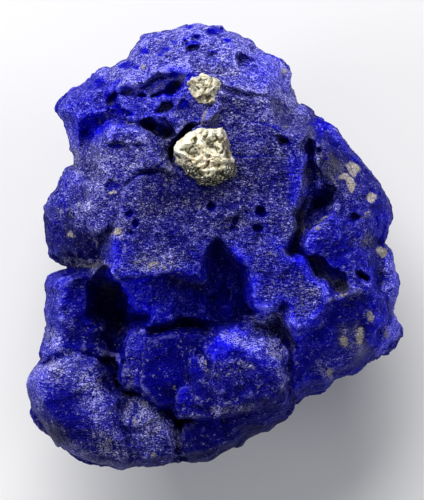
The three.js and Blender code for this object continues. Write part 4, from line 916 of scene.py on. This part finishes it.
def lapisMaterial():
    s, look = Shader("lapis"), lapisLook
    here = s.place()
    ridge, groove, swell, tone, frostAndSheen, crust, polish, deep, calciteMask, glass, pittedMask = [
        s.mask(name) for name in ("ridge", "groove", "swell", "tone", "frostAndSheen", "crust", "polish", "deep",
                                  "calcite", "glassy", "pitted")]
    grained = s.node("ShaderNodeMapping", {}, {
        "Vector": here, "Rotation": (0, 0, math.radians(look["streakTurn"])),
        "Scale": (look["streakStretch"], 1, 1)})[0]
    dot, chance = [s.cells(grained, look["pitMm"], output) for output in ("Distance", "Color")]
    holed = (s.node("ShaderNodeSeparateColor", {}, chance)[0] - 0.45).clamp() * 3
    pits = ((0.17 - dot) * 14).clamp() * holed * pittedMask
    fleck = s.noise(here, look["fleckMm"], 1, 0.5, 0.8)
    cloud = s.noise(here, look["cloudMm"], 3, 0.5, 0.5) - 0.5
    mottle = s.noise(here, look["mottleMm"], 3, 0.6, 0.5) - 0.5
    ripple = s.noise(grained, look["rippleMm"], 2, 0.5, 0.8)
    scale = s.noise(grained, look["scaleMm"], 1, 0.6, 0.3) - 0.5
    fine = s.noise(here, look["fineMm"], 0, 0.5) - 0.5
    rill = ripple.lines(16) * (mottle + 0.5).between(0.4, 0.6)
    # white flecks: partly white grains, partly painted glints
    fleckAndGlint = ((fleck + mottle * 0.6 + crust * 0.08 - 0.66) * 10).clamp()
    # painted light and shade from the relief: brighter and whiter on ridges and swells, darker and barer in
    # grooves
    depth = swell - 0.5 + ridge * 0.7 - groove * 0.6
    thread = s.noise(grained, look["threadMm"], 1, 0.6, 1.2).lines(8)
    grit = (scale + fine) * (0.8 + frostAndSheen.between(0.004, 0.04) * 2.4)
    patchy = 1 - frostAndSheen.between(0.01, 0.04) * 0.55
    # the blue is painted darker in grooves and small pits as shade, and brighter in deep hollows as painted
    # fill light
    blue = tone * 2 ** ((cloud * 1.4 + mottle * 1.2) * patchy + grit + depth * 0.9 - pits) + tone * deep
    dustPatchesAndReliefLight = (cloud * 6 + mottle * 8) * patchy + depth * 1.5 - pits * 5
    dustAndReliefLight = 2 ** (dustPatchesAndReliefLight + scale * 9 + fine * 10 + thread * 2.5 + rill * 1.5 + look["dustLevel"])
    chunk = (mottle * 2 + fine * 3 + ridge * 0.8 - 0.2).clamp()
    curl = s.noise(here, look["curlMm"], 1, 0.4, 3).lines(20) * crust.between(0.2, 0.8) * (fine * 3 + 0.8)
    # whiter on sharp ridges: partly edge wear, partly painted edge highlight
    wearAndHighlight = (ridge - 0.35).clamp() * (mottle + 0.6).between(0.4, 0.7)
    white = frostAndSheen * dustAndReliefLight + crust * chunk * look["crustWhite"] + curl.clamp() * look["curlWhite"]
    white = white + fleckAndGlint * look["fleckAndGlintWhite"] + wearAndHighlight * look["wearAndHighlightWhite"]
    white = white / (white * look["whiteLimit"] + 1)
    colour = s.mix(blue.clamp(), look["black"], look["pure"])
    colour = s.mix(white.clamp(), colour, look["white"], "ADD")
    colour = s.mix((glass * (0.5 + fine * 4)).clamp(), colour, look["glass"])
    stained = s.mix((mottle + fine * 2 + 0.5).between(0.35, 0.65), look["calcite"], look["stain"])
    colour = s.mix((calciteMask * 1.8 + fine * 2 + mottle * 1.6 - 0.6).clamp(), colour, stained)
    roughness = 0.55 - polish * 0.25 - glass * 0.3 + fine * 0.3
    height = mottle * 0.3 + ripple * 0.4 + scale * 0.5 + fine * 0.35 + thread * 0.1 - pits * 0.8
    normal = s.bump(height, look["bumpMm"])
    return s.surface(**{
        "Base Color": colour, "Roughness": roughness.clamp(), "Normal": normal, "IOR": 1.5,
        "Specular IOR Level": 0.02, "Coat Weight": (polish * 0.12 + glass * 0.6).clamp(),
        "Coat Roughness": 0.22})


grains = dict(
    large=dict(
        node="pyrite_large", subdivisions=6,
        at=(-0.7, 6.5, 20.1), slope=(-0.05, 0.06), dome=0.05, relief=0.34,
        chips=0.15, creaseDepth=0.05, tarnished=(0.95, 6.3),
        ochre=[(-0.3, 6.2, 1, 0.6, 20, 1), (-1.9, 6.2, 0.6, 0.4, 0, 0.7)],
        brown=[(0.95, 7.4, 1.3, 0.4, -72, 1)],
        # dark slots, painted as shade with no groove cut for them
        slots=[
            (-0.62, 8.08, 0.45, 0.15, 62, 1), (-0.2, 7.55, 0.4, 0.1, 5, 0.9),
            (0.7, 7.3, 1.05, 0.09, -58, 1), (-1.75, 6.5, 0.4, 0.08, 15, 0.8),
            (-2.1, 7.5, 0.35, 0.08, -10, 0.7), (-1.1, 7.2, 0.5, 0.07, 20, 0.6),
        ],
        edge=[
            (-2.95, 7.3), (-2.7, 7.7), (-1.6, 8.5), (-1, 8.7), (0.1, 8.6), (0.7, 8.8), (1.1, 7.9),
            (1.3, 6.8), (1.65, 5.6), (1.1, 4.9), (0.5, 4.5), (-0.2, 4.35), (-1, 4.5), (-1.6, 5.1),
            (-2.3, 5.6), (-2.85, 6.1),
        ],
    ),
    small=dict(
        node="pyrite_small", subdivisions=6,
        at=(-0.7, 11.5, 19.4), slope=(0.1, -0.3), dome=0.08, relief=0.34,
        chips=0.2, creaseDepth=0.035, tarnished=(0.3, 10.6),
        ochre=[(-0.4, 11.9, 0.5, 0.3, 30, 0.6), (-0.7, 10.9, 0.7, 0.4, 0, 0.5)],
        brown=[
            (0.1, 10.2, 0.5, 0.3, -60, 0.9), (-0.6, 11.2, 1.6, 1.6, 0, 0.5), (-1.6, 12, 0.4, 0.3, 0, 0.9),
        ],
        # dark slots, painted as shade with no groove cut for them
        slots=[
            (-1, 12.3, 0.25, 0.13, 20, 1), (0.1, 11.5, 0.5, 0.09, -50, 0.9),
            (-0.7, 11.4, 0.5, 0.08, 60, 0.7), (-0.3, 10.5, 0.4, 0.1, -30, 0.8),
            (-0.3, 11.9, 0.3, 0.07, 10, 0.8),
        ],
        edge=[
            (-1.9, 11.7), (-2, 12.2), (-1.5, 12.5), (-0.9, 12.75), (-0.2, 12.6), (0.3, 12.4), (0.55, 12),
            (0.4, 11.3), (0.25, 10.9), (0.25, 10.4), (0.4, 10), (0, 9.9), (-0.4, 10.35), (-1.1, 10.6),
            (-1.5, 11.1),
        ],
    ),
)
grainSink = 1.6   # how deep a grain sits in the rock
grainRim = 0.55   # width of its rounded edge
pyriteLook = dict(
    pale=(1.0, 0.98, 0.80), warm=(0.80, 0.73, 0.48), ochre=(0.62, 0.42, 0.20), brown=(0.20, 0.155, 0.12),
    creaseShade=(0.07, 0.06, 0.025), tarnish=(0.02, 0.019, 0.008), metallic=0.4, mottleMm=0.7, fineMm=0.15,
    bumpMm=0.15,
)


def makeGrain(name, g):
    at, slope = g["at"], g["slope"]

    def level(x, y):
        return at[2] + slope[0] * (x - at[0]) + slope[1] * (y - at[1])

    def side(x, y):  # 0 on the outline, 1 inside the rounded edge
        return np.clip(edgeDistance(x, y, g["edge"]) / grainRim, 0, 1)

    def top(x, y):
        fold = np.abs(fractal(x * 0.7 + y * 0.5, y * 1.3 - x * 0.4, 2.2, 1.2, 2))
        dome = g["dome"] * ((x - at[0]) ** 2 + (y - at[1]) ** 2)
        return level(x, y) - dome + g["relief"] * (1 - 2 * fold) - 0.5 * (1 - side(x, y)) ** 2

    def seat(x, y):
        return level(x, y) - grainSink + 0.6 * (1 - side(x, y)) ** 2

    mesh, _ = skin(name, g["subdivisions"], g["edge"], at[:2], 0.4, top, seat)
    p, n = readPoints(mesh), readNormals(mesh)
    x, y, z = p.T
    shift = g["chips"] * (brokenPlanes(x, y, z, 0.7, 30) + 0.4 * brokenPlanes(x, y + 4, z, 0.35, 30))
    shift += 0.03 * fractal(x, y, z, 0.35, 2)
    p += n * shift[:, None]
    writePoints(mesh, p)
    # hollow creases and the slots are painted near black as shade
    creaseShade = -standOut(mesh, p, readNormals(mesh), (8,))[0]
    piece = bpy.data.objects.new(name, mesh)
    bpy.context.scene.collection.objects.link(piece)
    addMask(mesh, "creaseShade", creaseShade / g["creaseDepth"] + ovalMask(x, y, g["slots"], 0.3))
    width, upTo = g["tarnished"]
    band = smoothStep(width - edgeDistance(x, y, g["edge"]) + 0.15 * fractal(x, y, z, 0.4, 2), 0, 0.3)
    addMask(mesh, "tarnish", band * smoothStep(upTo - y, 0, 0.5))
    addMask(mesh, "ochre", ovalMask(x, y, g["ochre"], 0.5))
    addMask(mesh, "brown", ovalMask(x, y, g["brown"], 0.3))
    return piece


def pyriteMaterial():
    s, look = Shader("pyrite"), pyriteLook
    here = s.place()
    tarnish, creaseShade, ochre, brown = [s.mask(name) for name in ("tarnish", "creaseShade", "ochre", "brown")]
    mottle, fine = s.noise(here, look["mottleMm"], 4, 0.6, 0.8), s.noise(here, look["fineMm"], 3, 0.6)
    colour = s.mix(mottle.between(0.45, 0.65), look["pale"], look["warm"])
    colour = s.mix((ochre * fine.between(0.4, 0.6)).clamp(), colour, look["ochre"])
    colour = s.mix((brown * (0.4 + fine)).clamp(), colour, look["brown"])
    # painted shade in creases and slots
    colour = s.mix((creaseShade * (0.6 + fine)).clamp(), colour, look["creaseShade"])
    colour = s.mix((tarnish * fine.between(0.3, 0.55)).clamp(), colour, look["tarnish"])
    roughness = (0.3 + fine * 0.2 + tarnish * 0.2).clamp()
    normal = s.bump(mottle * 0.5 + fine * 0.5, look["bumpMm"])
    return s.surface(**{
        "Base Color": colour, "Roughness": roughness, "Metallic": look["metallic"], "Normal": normal})


lapisPiece = makeStone()
markStone(lapisPiece.data)
finishPiece(lapisPiece, "lapis_stone", lapisMaterial())
print("stone done")
pyrite = pyriteMaterial()
for size, settings in grains.items():
    grain = makeGrain("pyrite" + size.capitalize(), settings)
    finishPiece(grain, settings["node"], pyrite)
print("pyrite done")


studio = dict(
    floorColour=(0.93, 0.93, 0.935), worldColour=(0.9, 0.93, 1.0), worldStrength=0.22,
    viewWidthMm=37.5,        # what the long side of the view spans
    aimMm=(-0.11, -0.34),    # the view's middle
    distanceMm=450, subjectHeightMm=14,
    middle=(0, 0, 0.012),    # what the lights point at, in metres
    lights=dict(             # place and size in metres, power in watts, colour
        window=((-0.14, 0.52, 0.40), 0.6, 6.3, (1, 0.99, 0.97)),
        left=((-0.55, -0.10, 0.22), 0.3, 0.9, (1, 1, 1)),
        right=((0.55, 0.10, 0.22), 0.3, 0.6, (1, 1, 1)),
    ),
)


def makeFloor():
    bm = bmesh.new()
    bmesh.ops.create_grid(bm, x_segments=2, y_segments=2, size=3)
    mesh = bpy.data.meshes.new("floor")
    bm.to_mesh(mesh)
    bm.free()
    floor = bpy.data.objects.new("floor", mesh)
    bpy.context.scene.collection.objects.link(floor)
    s = Shader("paleFloor")
    mesh.materials.append(s.surface(**{"Base Color": (*studio["floorColour"], 1), "Roughness": 0.9}))


def addLight(name, place, size, power, colour):
    data = bpy.data.lights.new(name, "AREA")
    data.shape, data.size, data.energy, data.color = "DISK", size, power, colour
    light = bpy.data.objects.new(name, data)
    bpy.context.scene.collection.objects.link(light)
    light.location = place
    aim = Vector(studio["middle"]) - Vector(place)
    light.rotation_euler = aim.to_track_quat("-Z", "Y").to_euler()
    light.visible_camera = False


def makeCamera():
    data = bpy.data.cameras.new("camera")
    data.sensor_width = 36
    data.lens = data.sensor_width * studio["distanceMm"] / studio["viewWidthMm"]
    data.clip_start, data.clip_end = 0.01, 20
    camera = bpy.data.objects.new("camera", data)
    bpy.context.scene.collection.objects.link(camera)
    height = studio["distanceMm"] + studio["subjectHeightMm"]
    camera.location = Vector((*studio["aimMm"], height)) * mm
    bpy.context.scene.camera = camera


def makeWorld():
    world = bpy.data.worlds.new("studio")
    world.use_nodes = True
    background = world.node_tree.nodes["Background"]
    background.inputs[0].default_value = (*studio["worldColour"], 1)
    background.inputs[1].default_value = studio["worldStrength"]
    bpy.context.scene.world = world
    bpy.context.scene.view_settings.view_transform = "Standard"


makeFloor()
for name, light in studio["lights"].items():
    addLight(name, *light)
makeWorld()
makeCamera()
print("studio done")
